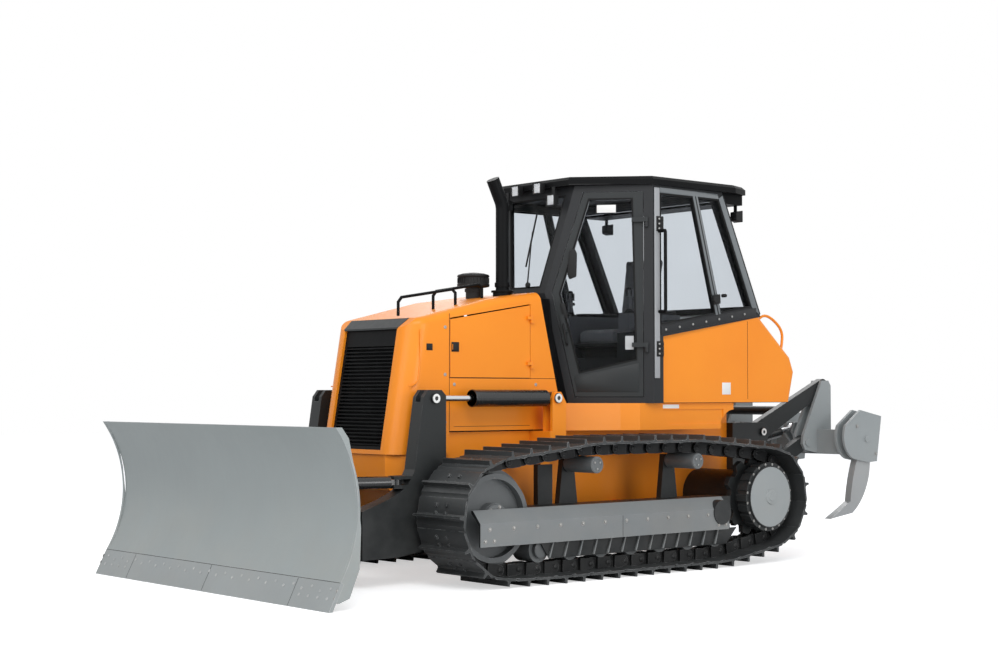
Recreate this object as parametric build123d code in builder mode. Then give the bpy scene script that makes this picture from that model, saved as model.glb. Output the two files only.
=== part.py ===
from build123d import *
from math import atan2, cos, hypot, pi, sin, sqrt
import os

# Crawler bulldozer with a power-angle-tilt blade and a three-shank ripper.
# Frame: millimetres, ground at z = 0, front of the machine towards -y, its left
# side towards +x, origin on the ground at the middle of the overall box.
# Side outlines are lists of (y, z) corners, plans (x, y), front outlines (x, z).

# ---------------------------------------------------------------- clearances
FIT = 0.5            # pin in its bore, rod in its gland, wheel against the chain
EYE_GAP = 3.0        # each side of an eye between the cheeks of its fork
MOVE_GAP = 8.0       # between bodies that swing past each other

# ---------------------------------------------------------------- undercarriage
SPROCKET_Y = 1270.0          # sprocket axis
WHEELBASE = 2740.0           # idler axis to sprocket axis
SPROCKET_Z = 513.0
IDLER_LIFT = 9.0             # lowest point of the chain round the idler over the rollers
TRACK_GAUGE = 1980.0         # between the track centre lines
SHOE_WIDTH = 510.0
SHOE_COUNT = 43
RAIL_HEIGHT = 85.0           # chain link, running face to shoe
SHOE_PLATE = 16.0
GROUSER = 40.0               # height of the bar over the shoe plate
GROUSER_FOOT = 30.0
GROUSER_TIP = 14.0
RAIL_IN = 26.0               # chain rail, inner face from the centre line
RAIL_OUT = 78.0              # chain rail, outer face from the centre line
IDLER_PATH_R = 318.0         # running line of the chain round the idler
SPROCKET_PATH_R = 288.0
ROLLER_COUNT = 7
ROLLER_R = 92.0
ROLLER_FIRST = 400.0         # first bottom roller behind the idler axis
ROLLER_LAST = 520.0          # last bottom roller ahead of the sprocket axis
CARRIER_R = 62.0
CARRIER_Z = 815.0
CARRIER_STATIONS = (855.0, 1905.0)   # carrier rollers behind the idler axis
PIVOT_AHEAD = 575.0          # pivot shaft ahead of the sprocket axis
PIVOT_Z = 419.0

IDLER_Y = SPROCKET_Y - WHEELBASE
TRACK_X = TRACK_GAUGE / 2
CHAIN_BASE = RAIL_HEIGHT + SHOE_PLATE + GROUSER     # running line over the ground
IDLER_Z = CHAIN_BASE + IDLER_PATH_R + IDLER_LIFT
PIVOT_Y = SPROCKET_Y - PIVOT_AHEAD

# ---------------------------------------------------------------- hull and hood
HULL_HALF = 440.0            # main frame, half width
HULL_WALL = 60.0
BELLY_Z = 400.0
BELLY_PLATE = 25.0
HULL_TOP = 1045.0
HULL_FRONT = -1875.0
HULL_REAR = 1600.0
HOOD_HALF = 480.0
HOOD_WALL = 22.0
HOOD_FRONT = -1890.0          # nose at its lower edge
NOSE_LEAN = 165.0            # run of the nose to the rear up to its top
HOOD_FRONT_TOP = 1865.0      # hood line at the front
HOOD_REAR_TOP = 2085.0       # hood line at the cowl
HOOD_REAR_Y = -522.0         # rear edge of the hood at its top
HOOD_REAR_RUN = 254.0        # run of the rear edge to the rear, down to the main frame
HOOD_NOSE_BASE = 895.0       # lower edge of the nose
HOOD_SEAM_Y = -1390.0        # nose panel to engine panels
HOOD_SEAM_Z = 1436.0         # lower to upper engine panel
HOOD_CORNER_R = 150.0
HOOD_SHOULDER_R = 60.0
HOOD_CORNER_IN = 105.0       # flats inside the rounded corners
HOOD_SHOULDER_IN = 30.0
GRILLE_HALF = 318.0
GRILLE_BASE = 925.0
GRILLE_TOP = 1665.0
GRILLE_PANEL_TOP = 1790.0
LOUVRES = 27
ENGINE_HALF = 290.0

# ---------------------------------------------------------------- cab
CAB_B_X = 880.0              # widest point, at the door's hinge pillar
CAB_B_Y = 285.0
CAB_KNEE_Y = -250.0          # foremost point, under the windscreen
CAB_KNEE_Z = 2100.0
CAB_REAR_X = 850.0
CAB_SILL_Y = 1560.0          # rear corner over the tank
CAB_SILL_Z = 1945.0
CAB_FLOOR_Z = 1250.0
CAB_TOP_Z = 2925.0
CAB_FRONT_BASE_Y = -135.0
CAB_FRONT_TOP_Y = -100.0
CAB_REAR_TOP_Y = 1090.0
CAB_WALL = 45.0
DOOR_SLOPE = 1.2             # sideways run of the door for each unit of length
ROOF_THICK = 65.0
GLASS = 10.0

# ---------------------------------------------------------------- blade linkage
TRUNNION_Y = 300.0
TRUNNION_Z = 400.0
ARM_X = 620.0                # centre of the side arm and of its tower
ARM_THICK = 120.0
TOWER_Y = -1680.0            # lift cylinder pin in the tower
TOWER_Z = 1290.0
LIFT_BASE_Y = -520.0         # lift cylinder pin on the hull
LIFT_BASE_Z = 1290.0
LIFT_BARREL_R = 62.0
LIFT_ROD_R = 23.0
LIFT_EYE_R = 48.0
LIFT_EYE = 50.0
BEAM_FRONT = -2300.0         # cross beam between the arms
BEAM_REAR = -2060.0
BEAM_BASE = 220.0
BEAM_TOP = 520.0
ANGLE_Y = -2520.0            # vertical pivot of the yoke
YOKE_FRONT = -2745.0
YOKE_REAR = -2630.0
YOKE_HALF = 500.0
YOKE_BASE = 330.0
YOKE_TOP = 540.0
TILT_Z = 435.0               # roll pin of the blade
ANGLE_BASE_X = 620.0
ANGLE_BASE_Y = -1970.0
ANGLE_EYE_X = 450.0
ANGLE_EYE_Y = -2640.0
ANGLE_CYL_Z = 715.0
ANGLE_BARREL_R = 42.0
ANGLE_ROD_R = 19.0
TILT_CYL_Z = 860.0
TILT_CYL_Y = -2687.0
TILT_BASE_X = -60.0
TILT_EYE_X = 560.0
TILT_BARREL_R = 38.0
TILT_ROD_R = 17.0

BLADE_WIDTH = 2990.0
BLADE_HEIGHT = 1118.0
BLADE_FRONT = -3140.0        # foremost line, the cutting edge on the ground
BLADE_EDGE_TOP = 176.0
EDGE_RUN = 88.0              # top of the cutting edge behind the foremost line
TOP_RUN = 48.0               # upper edge of the blade behind it
HOLLOW_RUN = 228.0           # deepest point of the hollow behind it
HOLLOW_DROP = 478.0          # deepest point under the upper edge
BLADE_PLATE = 20.0
EDGE_PLATE = 25.0
BLADE_BACK = -2765.0         # rear face of the ribs
END_PLATE = 22.0

# ---------------------------------------------------------------- ripper
LINK_X = 450.0               # side links, centre
LINK_THICK = 60.0
RIP_UPPER_Y = 1970.0         # machine pin of the upper link
RIP_UPPER_Z = 1000.0
RIP_LOWER_Y = 1720.0         # machine pin of the lower link
RIP_LOWER_Z = 510.0
RIP_REACH = 840.0            # link, pin to pin, along y
RIP_RISE = 390.0             # link, pin to pin, along z
RIP_CYL_X = 300.0
RIP_BASE_Y = 1870.0
RIP_BASE_Z = 890.0
RIP_EYE_Y = 2610.0
RIP_EYE_Z = 1020.0
RIP_BARREL_R = 48.0
RIP_ROD_R = 24.0
RIP_PIN_R = 32.0
TOOLBAR_HALF = 850.0
TOOLBAR_FRONT = 2690.0
TOOLBAR_DEPTH = 130.0
TOOLBAR_BASE = 800.0
TOOLBAR_TOP = 1010.0
SHANK_X = (-800.0, 0.0, 800.0)
SHANK_THICK = 62.0
POCKET_PLATE = 22.0
POCKET_REAR = 3140.0


# ---------------------------------------------------------------- form helpers
def side_form(corners, x_from, x_to, mode=Mode.ADD):
    """Side outline of (y, z) corners, solid between two x planes."""
    with BuildSketch(Plane.YZ.offset(min(x_from, x_to))) as outline:
        with BuildLine():
            Polyline(*corners, close=True)
        make_face()
    return extrude(outline.sketch, amount=abs(x_to - x_from), mode=mode)


def plan_form(corners, z_from, z_to, mode=Mode.ADD):
    """Plan outline of (x, y) corners, solid between two heights."""
    with BuildSketch(Plane.XY.offset(z_from)) as outline:
        with BuildLine():
            Polyline(*corners, close=True)
        make_face()
    return extrude(outline.sketch, amount=z_to - z_from, mode=mode)


def front_form(corners, y_from, y_to, mode=Mode.ADD):
    """Front outline of (x, z) corners, solid between two y planes."""
    with BuildSketch(Plane.XZ.offset(-y_to)) as outline:
        with BuildLine():
            Polyline(*corners, close=True)
        make_face()
    return extrude(outline.sketch, amount=y_to - y_from, mode=mode)


def block(x_span, y_span, z_span, mode=Mode.ADD):
    """Rectangular block between two limits on each axis."""
    plane = Plane.XY.offset(z_span[0])
    with BuildSketch(plane) as outline:
        with Locations(((x_span[0] + x_span[1]) / 2, (y_span[0] + y_span[1]) / 2)):
            Rectangle(abs(x_span[1] - x_span[0]), abs(y_span[1] - y_span[0]))
    return extrude(outline.sketch, amount=z_span[1] - z_span[0], mode=mode)


def disc_x(y, z, radius, x_from, x_to, mode=Mode.ADD):
    """Cylinder along x."""
    with BuildSketch(Plane.YZ.offset(min(x_from, x_to))) as outline:
        with Locations((y, z)):
            Circle(radius)
    return extrude(outline.sketch, amount=abs(x_to - x_from), mode=mode)


def disc_y(x, z, radius, y_from, y_to, mode=Mode.ADD):
    """Cylinder along y."""
    with BuildSketch(Plane.XZ.offset(-y_to)) as outline:
        with Locations((x, z)):
            Circle(radius)
    return extrude(outline.sketch, amount=y_to - y_from, mode=mode)


def disc_z(x, y, radius, z_from, z_to, mode=Mode.ADD):
    """Cylinder along z."""
    with BuildSketch(Plane.XY.offset(z_from)) as outline:
        with Locations((x, y)):
            Circle(radius)
    return extrude(outline.sketch, amount=z_to - z_from, mode=mode)


def bar(start, end, radius, mode=Mode.ADD):
    """Round bar from one point to another."""
    along = Vector(*end) - Vector(*start)
    with BuildSketch(Plane(origin=start, z_dir=along)) as outline:
        Circle(radius)
    return extrude(outline.sketch, amount=along.length, mode=mode)


def bent_tube(points, radius, cut, mode=Mode.ADD):
    """Round bar along straight runs, each bend mitred over two short cuts."""
    corners = [points[0]]
    for before, at, after in zip(points, points[1:], points[2:]):
        corners.append(along(at, before, cut))
        corners.append(along(at, after, cut))
    corners.append(points[-1])
    with BuildLine() as route:
        Polyline(*corners)
    start = Plane(origin=corners[0], z_dir=Vector(*corners[1]) - Vector(*corners[0]))
    with BuildSketch(start) as outline:
        Circle(radius)
    return sweep(outline.sketch, path=route.line, transition=Transition.RIGHT, mode=mode)


def along(start, end, distance):
    """Point at a distance from start towards end."""
    run = Vector(*end) - Vector(*start)
    return tuple(Vector(*start) + run.normalized() * distance)


os.makedirs("parts", exist_ok=True)

# ================================================================ tracks
def belt_path(discs):
    """Tangent lines and arcs round a ring of discs, as (kind, data, length)."""
    count = len(discs)
    normals = []
    for i in range(count):
        y_a, z_a, r_a = discs[i]
        y_b, z_b, r_b = discs[(i + 1) % count]
        reach = hypot(y_b - y_a, z_b - z_a)
        run_y, run_z = (y_b - y_a) / reach, (z_b - z_a) / reach
        lean = (r_a - r_b) / reach
        out = sqrt(1 - lean * lean)
        normals.append((run_y * lean + run_z * out, run_z * lean - run_y * out))
    pieces = []
    for i in range(count):
        n_y, n_z = normals[i]
        y_a, z_a, r_a = discs[i]
        y_b, z_b, r_b = discs[(i + 1) % count]
        start = (y_a + n_y * r_a, z_a + n_z * r_a)
        end = (y_b + n_y * r_b, z_b + n_z * r_b)
        reach = hypot(end[0] - start[0], end[1] - start[1])
        pieces.append(("run", (start, end, (n_y, n_z)), reach))
        turn_from = atan2(n_z, n_y)
        turn_to = atan2(normals[(i + 1) % count][1], normals[(i + 1) % count][0])
        turn = (turn_to - turn_from) % (2 * pi)
        pieces.append(("arc", (discs[(i + 1) % count], turn_from, turn), r_b * turn))
    return pieces


def belt_stations(pieces, count):
    """Evenly spaced (y, z, outward y, outward z) stations along a belt path."""
    whole = sum(length for _, _, length in pieces)
    stations = []
    for k in range(count):
        ahead = whole * k / count
        for kind, data, length in pieces:
            if ahead <= length:
                break
            ahead -= length
        if kind == "run":
            start, end, normal = data
            part = ahead / length
            y = start[0] + (end[0] - start[0]) * part
            z = start[1] + (end[1] - start[1]) * part
        else:
            (centre_y, centre_z, radius), turn_from, turn = data
            at = turn_from + turn * ahead / length
            normal = (cos(at), sin(at))
            y = centre_y + radius * normal[0]
            z = centre_z + radius * normal[1]
        stations.append((y, z, normal[0], normal[1]))
    return stations, whole / count


ROLLER_Z = CHAIN_BASE + ROLLER_R
roller_step = (WHEELBASE - ROLLER_FIRST - ROLLER_LAST) / (ROLLER_COUNT - 1)
roller_stations = [IDLER_Y + ROLLER_FIRST + i * roller_step for i in range(ROLLER_COUNT)]
carrier_stations = [IDLER_Y + behind for behind in CARRIER_STATIONS]
belt = belt_path([
    (roller_stations[0], ROLLER_Z, ROLLER_R),
    (roller_stations[-1], ROLLER_Z, ROLLER_R),
    (SPROCKET_Y, SPROCKET_Z, SPROCKET_PATH_R),
    (carrier_stations[1], CARRIER_Z, CARRIER_R),
    (carrier_stations[0], CARRIER_Z, CARRIER_R),
    (IDLER_Y, IDLER_Z, IDLER_PATH_R),
])
joints, PITCH = belt_stations(belt, SHOE_COUNT)


def level(height):
    """Corners of the chain loop at a height over its running line."""
    return [(y + n_y * height, z + n_z * height) for y, z, n_y, n_z in joints]


def running_radius(axis_y, axis_z):
    """Radius of a wheel that runs on the chain's flat links, less the fit."""
    corners = level(0.0)
    reaches = []
    for k, (y_a, z_a) in enumerate(corners):
        y_b, z_b = corners[(k + 1) % len(corners)]
        run_y, run_z = y_b - y_a, z_b - z_a
        part = ((axis_y - y_a) * run_y + (axis_z - z_a) * run_z) / (run_y**2 + run_z**2)
        part = min(1.0, max(0.0, part))
        reaches.append(hypot(axis_y - y_a - run_y * part, axis_z - z_a - run_z * part))
    return min(reaches) - FIT


IDLER_R = running_radius(IDLER_Y, IDLER_Z)


def grouser_outline():
    """Outer outline of the shoes, with one grouser bar on each."""
    plate = level(RAIL_HEIGHT + SHOE_PLATE)
    corners = []
    for k, start in enumerate(plate):
        end = plate[(k + 1) % len(plate)]
        reach = hypot(end[0] - start[0], end[1] - start[1])
        run = ((end[0] - start[0]) / reach, (end[1] - start[1]) / reach)
        up = (run[1], -run[0])
        middle = reach * 0.68
        corners.append(start)
        # (distance along the shoe, height over the plate)
        for ahead, height in (
            (middle - GROUSER_FOOT / 2, 0.0),
            (middle - GROUSER_TIP / 2, GROUSER),
            (middle + GROUSER_TIP / 2, GROUSER),
            (middle + GROUSER_FOOT / 2, 0.0),
        ):
            corners.append((start[0] + run[0] * ahead + up[0] * height,
                            start[1] + run[1] * ahead + up[1] * height))
    return corners


def loop_band(outer, inner, x_from, x_to):
    """Closed band between two loop outlines, between two x planes."""
    with BuildSketch(Plane.YZ.offset(min(x_from, x_to))) as section:
        with BuildLine():
            Polyline(*outer, close=True)
        make_face()
        with BuildLine():
            Polyline(*inner, close=True)
        make_face(mode=Mode.SUBTRACT)
    return extrude(section.sketch, amount=abs(x_to - x_from))


SHOE_IN = TRACK_X - SHOE_WIDTH / 2
SHOE_OUT = TRACK_X + SHOE_WIDTH / 2
with BuildPart() as track_left:
    loop_band(grouser_outline(), level(RAIL_HEIGHT), SHOE_IN, SHOE_OUT)
    for rail_from, rail_to in ((-RAIL_OUT, -RAIL_IN), (RAIL_IN, RAIL_OUT)):
        loop_band(level(RAIL_HEIGHT), level(0.0), TRACK_X + rail_from, TRACK_X + rail_to)
track_left.part.label = "track_left"
export_step(track_left.part, "parts/track_left.step")

with BuildPart() as track_right:
    mirror(track_left.part, about=Plane.YZ)
track_right.part.label = "track_right"
export_step(track_right.part, "parts/track_right.step")

# ---------------------------------------------------------------- wheels
AXLE_R = 26.0                      # axle of a carrier roller
FRAME_IN = TRACK_X - 112.0         # track frame beam, inner face
FRAME_OUT = TRACK_X + 112.0
HANGER = 22.0                      # plates that carry the wheels
WHEEL_HALF = RAIL_OUT + 6.0        # half width of a wheel under the rails
GUIDE_HALF = RAIL_IN - 4.0         # guide flange that runs between the rails
GUIDE_RISE = 38.0

IDLER_RIM = 35.0
IDLER_BOSS_R = 105.0
with BuildPart() as idlers:
    disc_x(IDLER_Y, IDLER_Z, IDLER_R, TRACK_X - WHEEL_HALF, TRACK_X + WHEEL_HALF)
    disc_x(IDLER_Y, IDLER_Z, IDLER_R + GUIDE_RISE, TRACK_X - GUIDE_HALF, TRACK_X + GUIDE_HALF)
    # dished outer side round the boss
    disc_x(IDLER_Y, IDLER_Z, IDLER_R - IDLER_RIM, TRACK_X + GUIDE_HALF, TRACK_X + WHEEL_HALF,
           mode=Mode.SUBTRACT)
    disc_x(IDLER_Y, IDLER_Z, IDLER_BOSS_R, FRAME_IN + HANGER, FRAME_OUT - HANGER)
    mirror(about=Plane.YZ)
idlers.part.label = "idlers"
export_step(idlers.part, "parts/idlers.step")

with BuildPart() as track_rollers:
    # plain rollers, their ends on the hangers
    for station in roller_stations:
        disc_x(station, ROLLER_Z, running_radius(station, ROLLER_Z),
               FRAME_IN + HANGER, FRAME_OUT - HANGER)
    mirror(about=Plane.YZ)
track_rollers.part.label = "track_rollers"
export_step(track_rollers.part, "parts/track_rollers.step")

CARRIER_CAP_OUT = TRACK_X + 210.0
CARRIER_ARM_IN = FRAME_IN - 30.0
CARRIER_PLATE = 18.0               # carrier arm past the inner face of the beam
with BuildPart() as carrier_rollers:
    for station in carrier_stations:
        disc_x(station, CARRIER_Z, running_radius(station, CARRIER_Z),
               TRACK_X - WHEEL_HALF, CARRIER_CAP_OUT)
        disc_x(station, CARRIER_Z, AXLE_R, FRAME_IN + CARRIER_PLATE, TRACK_X)
    mirror(about=Plane.YZ)
carrier_rollers.part.label = "carrier_rollers"
export_step(carrier_rollers.part, "parts/carrier_rollers.step")

RING_R = 270.0
RING_NOTCHES = 20
NOTCH = 13.0
COVER_R = 240.0
HUB_R = 200.0
TEETH = round(2 * pi * SPROCKET_PATH_R / PITCH)
TOOTH_ROOT_R = IDLER_R - 45.0
TOOTH_TIP_R = SPROCKET_PATH_R + 20.0
RING_IN = TRACK_X + 95.0
RING_FACE = TRACK_X + 188.0
COVER_FACE = TRACK_X + 205.0


def toothed_outline(count, root_r, tip_r, root_share, tip_share):
    """Corners (y, z) of straight teeth round the sprocket axis; shares of one pitch."""
    corners = []
    for tooth in range(count):
        for turn, radius in ((-root_share / 2, root_r), (-tip_share / 2, tip_r),
                             (tip_share / 2, tip_r), (root_share / 2, root_r)):
            at = 2 * pi * (tooth + turn) / count
            corners.append((SPROCKET_Y + radius * sin(at), SPROCKET_Z + radius * cos(at)))
    return corners


with BuildPart() as final_drives:
    disc_x(SPROCKET_Y, SPROCKET_Z, HUB_R, HULL_HALF, RING_IN)
    # sprocket: teeth that stand between the chain rails
    side_form(toothed_outline(TEETH, TOOTH_ROOT_R, TOOTH_TIP_R, 0.72, 0.4),
              TRACK_X - GUIDE_HALF, TRACK_X + GUIDE_HALF)
    # notched ring and cover on the outside
    side_form(toothed_outline(RING_NOTCHES, RING_R - NOTCH, RING_R, 0.68, 0.6), RING_IN, RING_FACE)
    disc_x(SPROCKET_Y, SPROCKET_Z, COVER_R, RING_FACE, COVER_FACE)
    mirror(about=Plane.YZ)
final_drives.part.label = "final_drives"
export_step(final_drives.part, "parts/final_drives.step")

# ---------------------------------------------------------------- track frames
GUARD_OUT = TRACK_X + 212.0
GUARD_BASE = 290.0
GUARD_FOLD = 445.0
GUARD_TOP = 530.0
GUARD_FRONT = IDLER_Y - 230.0
GUARD_REAR = PIVOT_Y + 90.0
GUARD_PLATE = 16.0
FRAME_BASE = 345.0
FRAME_FRONT = IDLER_Y + IDLER_PATH_R + 40.0
FRAME_REAR = SPROCKET_Y - IDLER_R - 60.0
EQUALIZER_Y = -840.0
EQUALIZER_HALF = 42.0
EQUALIZER_BASE = 815.0
EQUALIZER_TOP = 890.0
EQUALIZER_OUT = FRAME_IN + 17.0
PIVOT_R = 60.0
with BuildPart() as track_frames:
    # main beam between the wheels
    block((FRAME_IN, FRAME_OUT), (FRAME_FRONT, FRAME_REAR), (FRAME_BASE, GUARD_TOP))
    # folded rock guard on the outside
    front_form([
        (FRAME_OUT, GUARD_TOP), (FRAME_OUT, GUARD_TOP - GUARD_PLATE),
        (GUARD_OUT - GUARD_PLATE, GUARD_FOLD - GUARD_PLATE), (GUARD_OUT - GUARD_PLATE, GUARD_BASE),
        (GUARD_OUT, GUARD_BASE), (GUARD_OUT, GUARD_FOLD), (FRAME_OUT + 20, GUARD_TOP),
    ], GUARD_FRONT, GUARD_REAR)
    block((FRAME_OUT, GUARD_OUT - GUARD_PLATE / 2), (GUARD_REAR - GUARD_PLATE, GUARD_REAR),
          (GUARD_BASE, GUARD_FOLD))
    # hangers for the roller axles and the idler axle
    for side in (FRAME_IN, FRAME_OUT - HANGER):
        for station in roller_stations:
            side_form([(station - 45, FRAME_BASE), (station - 32, ROLLER_Z - 32),
                       (station + 32, ROLLER_Z - 32), (station + 45, FRAME_BASE)],
                      side, side + HANGER)
        side_form([(FRAME_FRONT, FRAME_BASE + 20), (IDLER_Y - 60, IDLER_Z - 62),
                   (IDLER_Y - 80, IDLER_Z), (IDLER_Y - 60, GUARD_TOP), (FRAME_FRONT, GUARD_TOP)],
                  side, side + HANGER)
    # upright arms for the carrier rollers
    for station in carrier_stations:
        side_form([(station - 90, GUARD_TOP), (station - 50, CARRIER_Z + 45),
                   (station + 50, CARRIER_Z + 45), (station + 90, GUARD_TOP)],
                  CARRIER_ARM_IN, FRAME_IN + CARRIER_PLATE)
        block((CARRIER_ARM_IN, FRAME_IN), (station - 90, station + 90), (FRAME_BASE, GUARD_TOP))
    # pedestal under the end of the equalizer bar
    block((CARRIER_ARM_IN, EQUALIZER_OUT), (EQUALIZER_Y - 70, EQUALIZER_Y + 70),
          (FRAME_BASE, EQUALIZER_BASE))
    # bore and cover of the pivot shaft
    disc_x(PIVOT_Y, PIVOT_Z, 93, FRAME_OUT, GUARD_OUT + 12)
    disc_x(PIVOT_Y, PIVOT_Z, PIVOT_R + FIT, FRAME_IN - 40, FRAME_OUT, mode=Mode.SUBTRACT)
    mirror(about=Plane.YZ)
track_frames.part.label = "track_frames"
export_step(track_frames.part, "parts/track_frames.step")

# ================================================================ main frame
MOUNT_PLATE = 25.0                       # cheeks of the ripper and cylinder forks
link_in = LINK_X - LINK_THICK / 2 - EYE_GAP
link_out = LINK_X + LINK_THICK / 2 + EYE_GAP
CYL_EYE = 50.0                           # width of the ripper cylinder's eyes
cyl_in = RIP_CYL_X - CYL_EYE / 2 - EYE_GAP
cyl_out = RIP_CYL_X + CYL_EYE / 2 + EYE_GAP
BULKHEAD = 40.0
LIFT_CHEEK = 26.0
lift_in = ARM_X - LIFT_EYE / 2 - EYE_GAP
lift_out = ARM_X + LIFT_EYE / 2 + EYE_GAP
LIFT_PIN_R = 22.0
TRUNNION_R = 55.0
NOSE_BASE = 640.0
NOSE_CUT = 120.0                         # cut corners of the lower nose plate
with BuildPart() as main_frame:
    # open-topped tub: side walls, belly plate, front and rear bulkheads
    side_form([
        (HULL_FRONT + 40, NOSE_BASE), (HULL_FRONT + 240, BELLY_Z + 60), (HULL_FRONT + 420, BELLY_Z),
        (HULL_REAR - 260, BELLY_Z), (HULL_REAR, BELLY_Z + 90), (HULL_REAR, HULL_TOP),
        (HULL_FRONT + 130, HULL_TOP), (HULL_FRONT + 130, HOOD_NOSE_BASE),
    ], -HULL_HALF, HULL_HALF)
    side_form([
        (HULL_FRONT + 175, NOSE_BASE + 60), (HULL_FRONT + 455, BELLY_Z + BELLY_PLATE),
        (HULL_REAR - 300, BELLY_Z + BELLY_PLATE), (HULL_REAR - 300, HULL_TOP),
        (HULL_FRONT + 175, HULL_TOP),
    ], -HULL_HALF + HULL_WALL, HULL_HALF - HULL_WALL, mode=Mode.SUBTRACT)
    # lower nose plate under the grille
    side_form([
        (HULL_FRONT, HOOD_NOSE_BASE), (HULL_FRONT, NOSE_BASE + 40), (HULL_FRONT + 30, NOSE_BASE),
        (HULL_FRONT + 120, NOSE_BASE - 15), (HULL_FRONT + 200, NOSE_BASE + 40),
        (HULL_FRONT + 200, HOOD_NOSE_BASE),
    ], -HOOD_HALF, HOOD_HALF)
    for side in (-1, 1):
        plan_form([
            (side * (HOOD_HALF - NOSE_CUT), HULL_FRONT - 1),
            (side * (HOOD_HALF + 1), HULL_FRONT - 1),
            (side * (HOOD_HALF + 1), HULL_FRONT + NOSE_CUT),
        ], NOSE_BASE - 40, HOOD_NOSE_BASE + 1, mode=Mode.SUBTRACT)
    # engine bearers
    for station in (-1150.0, -500.0):
        block((-HULL_HALF + HULL_WALL, HULL_HALF - HULL_WALL), (station - 40, station + 40),
              (BELLY_Z + BELLY_PLATE, 560))
    # pivot shafts of the track frames
    disc_x(PIVOT_Y, PIVOT_Z, PIVOT_R, -FRAME_OUT, FRAME_OUT)
    for side in (-1, 1):
        # end of the equalizer bar, carrying the front of the track frame
        block((side * (HULL_HALF - HULL_WALL), side * EQUALIZER_OUT),
              (EQUALIZER_Y - EQUALIZER_HALF, EQUALIZER_Y + EQUALIZER_HALF),
              (EQUALIZER_BASE, EQUALIZER_TOP))
        # trunnion of the blade frame with its retaining cap
        disc_x(TRUNNION_Y, TRUNNION_Z, TRUNNION_R, side * (HULL_HALF - 20),
               side * (ARM_X + 60 + 12))
        disc_x(TRUNNION_Y, TRUNNION_Z, TRUNNION_R + 45,
               side * HULL_HALF, side * (ARM_X - ARM_THICK / 2 - EYE_GAP))
        disc_x(TRUNNION_Y, TRUNNION_Z, TRUNNION_R + 25,
               side * (ARM_X + ARM_THICK / 2 + EYE_GAP), side * (ARM_X + ARM_THICK / 2 + 25))
        # outrigger and fork for the lift cylinder
        block((side * (HULL_HALF - 20), side * (lift_out + LIFT_CHEEK)),
              (LIFT_BASE_Y - 70, LIFT_BASE_Y + 90), (HULL_TOP - 130, HULL_TOP))
        for x_from, x_to in ((lift_in - LIFT_CHEEK, lift_in), (lift_out, lift_out + LIFT_CHEEK)):
            side_form([(LIFT_BASE_Y - 46, HULL_TOP - 20), (LIFT_BASE_Y - 46, LIFT_BASE_Z),
                       (LIFT_BASE_Y - 26, LIFT_BASE_Z + 46), (LIFT_BASE_Y + 40, LIFT_BASE_Z + 46),
                       (LIFT_BASE_Y + 90, LIFT_BASE_Z - 30), (LIFT_BASE_Y + 90, HULL_TOP - 20)],
                      side * x_from, side * x_to)
        disc_x(LIFT_BASE_Y, LIFT_BASE_Z, LIFT_PIN_R, side * (lift_in - LIFT_CHEEK),
               side * (lift_out + LIFT_CHEEK))
        disc_x(LIFT_BASE_Y, LIFT_BASE_Z, LIFT_PIN_R + 16, side * (lift_out + LIFT_CHEEK),
               side * (lift_out + LIFT_CHEEK + 10))
main_frame.part.label = "main_frame"
export_step(main_frame.part, "parts/main_frame.step")

with BuildPart() as ripper_mount:
    # rear bulkhead with the forks of the links and of the cylinders
    block((-link_out - MOUNT_PLATE, link_out + MOUNT_PLATE), (HULL_REAR, HULL_REAR + BULKHEAD),
          (BELLY_Z + 60, RIP_UPPER_Z + 80))
    for side in (-1, 1):
        for x_from, x_to in ((link_in - MOUNT_PLATE, link_in), (link_out, link_out + MOUNT_PLATE)):
            side_form([
                (HULL_REAR, BELLY_Z + 60), (RIP_LOWER_Y + 40, BELLY_Z + 60),
                (RIP_LOWER_Y + 75, RIP_LOWER_Z + 20), (RIP_UPPER_Y + 75, RIP_UPPER_Z - 60),
                (RIP_UPPER_Y + 75, RIP_UPPER_Z + 40), (RIP_UPPER_Y + 20, RIP_UPPER_Z + 80),
                (HULL_REAR, RIP_UPPER_Z + 80),
            ], side * x_from, side * x_to)
        for x_from, x_to in ((cyl_in - MOUNT_PLATE, cyl_in), (cyl_out, cyl_out + MOUNT_PLATE)):
            side_form([
                (HULL_REAR, RIP_BASE_Z - 110), (RIP_BASE_Y, RIP_BASE_Z - 55),
                (RIP_BASE_Y + 50, RIP_BASE_Z - 20), (RIP_BASE_Y + 50, RIP_BASE_Z + 30),
                (RIP_BASE_Y + 20, RIP_BASE_Z + 60), (HULL_REAR, RIP_BASE_Z + 80),
            ], side * x_from, side * x_to)
        for pin_y, pin_z in ((RIP_UPPER_Y, RIP_UPPER_Z), (RIP_LOWER_Y, RIP_LOWER_Z)):
            disc_x(pin_y, pin_z, RIP_PIN_R, side * (link_in - MOUNT_PLATE),
                   side * (link_out + MOUNT_PLATE + 12))
        disc_x(RIP_BASE_Y, RIP_BASE_Z, RIP_PIN_R, side * (cyl_in - MOUNT_PLATE),
               side * (cyl_out + MOUNT_PLATE))
ripper_mount.part.label = "ripper_mount"
export_step(ripper_mount.part, "parts/ripper_mount.step")

ENGINE_SPAN = (-1530.0, -420.0)
with BuildPart() as engine_block:
    block((-ENGINE_HALF, ENGINE_HALF), ENGINE_SPAN, (560, 1450))
engine_block.part.label = "engine_block"
export_step(engine_block.part, "parts/engine_block.step")

# ================================================================ hood
HOOD_CREST_Y = -1000.0
HOOD_CREST = 12.0
NOSE_TOP_Z = HOOD_FRONT_TOP - 70.0
NOSE_TOP_RUN = 85.0          # from the nose's top edge back to the hood line
HOOD_BOTTOM = HULL_TOP
NOSE_SLOPE = NOSE_LEAN / (HOOD_FRONT_TOP - HOOD_NOSE_BASE)


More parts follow.
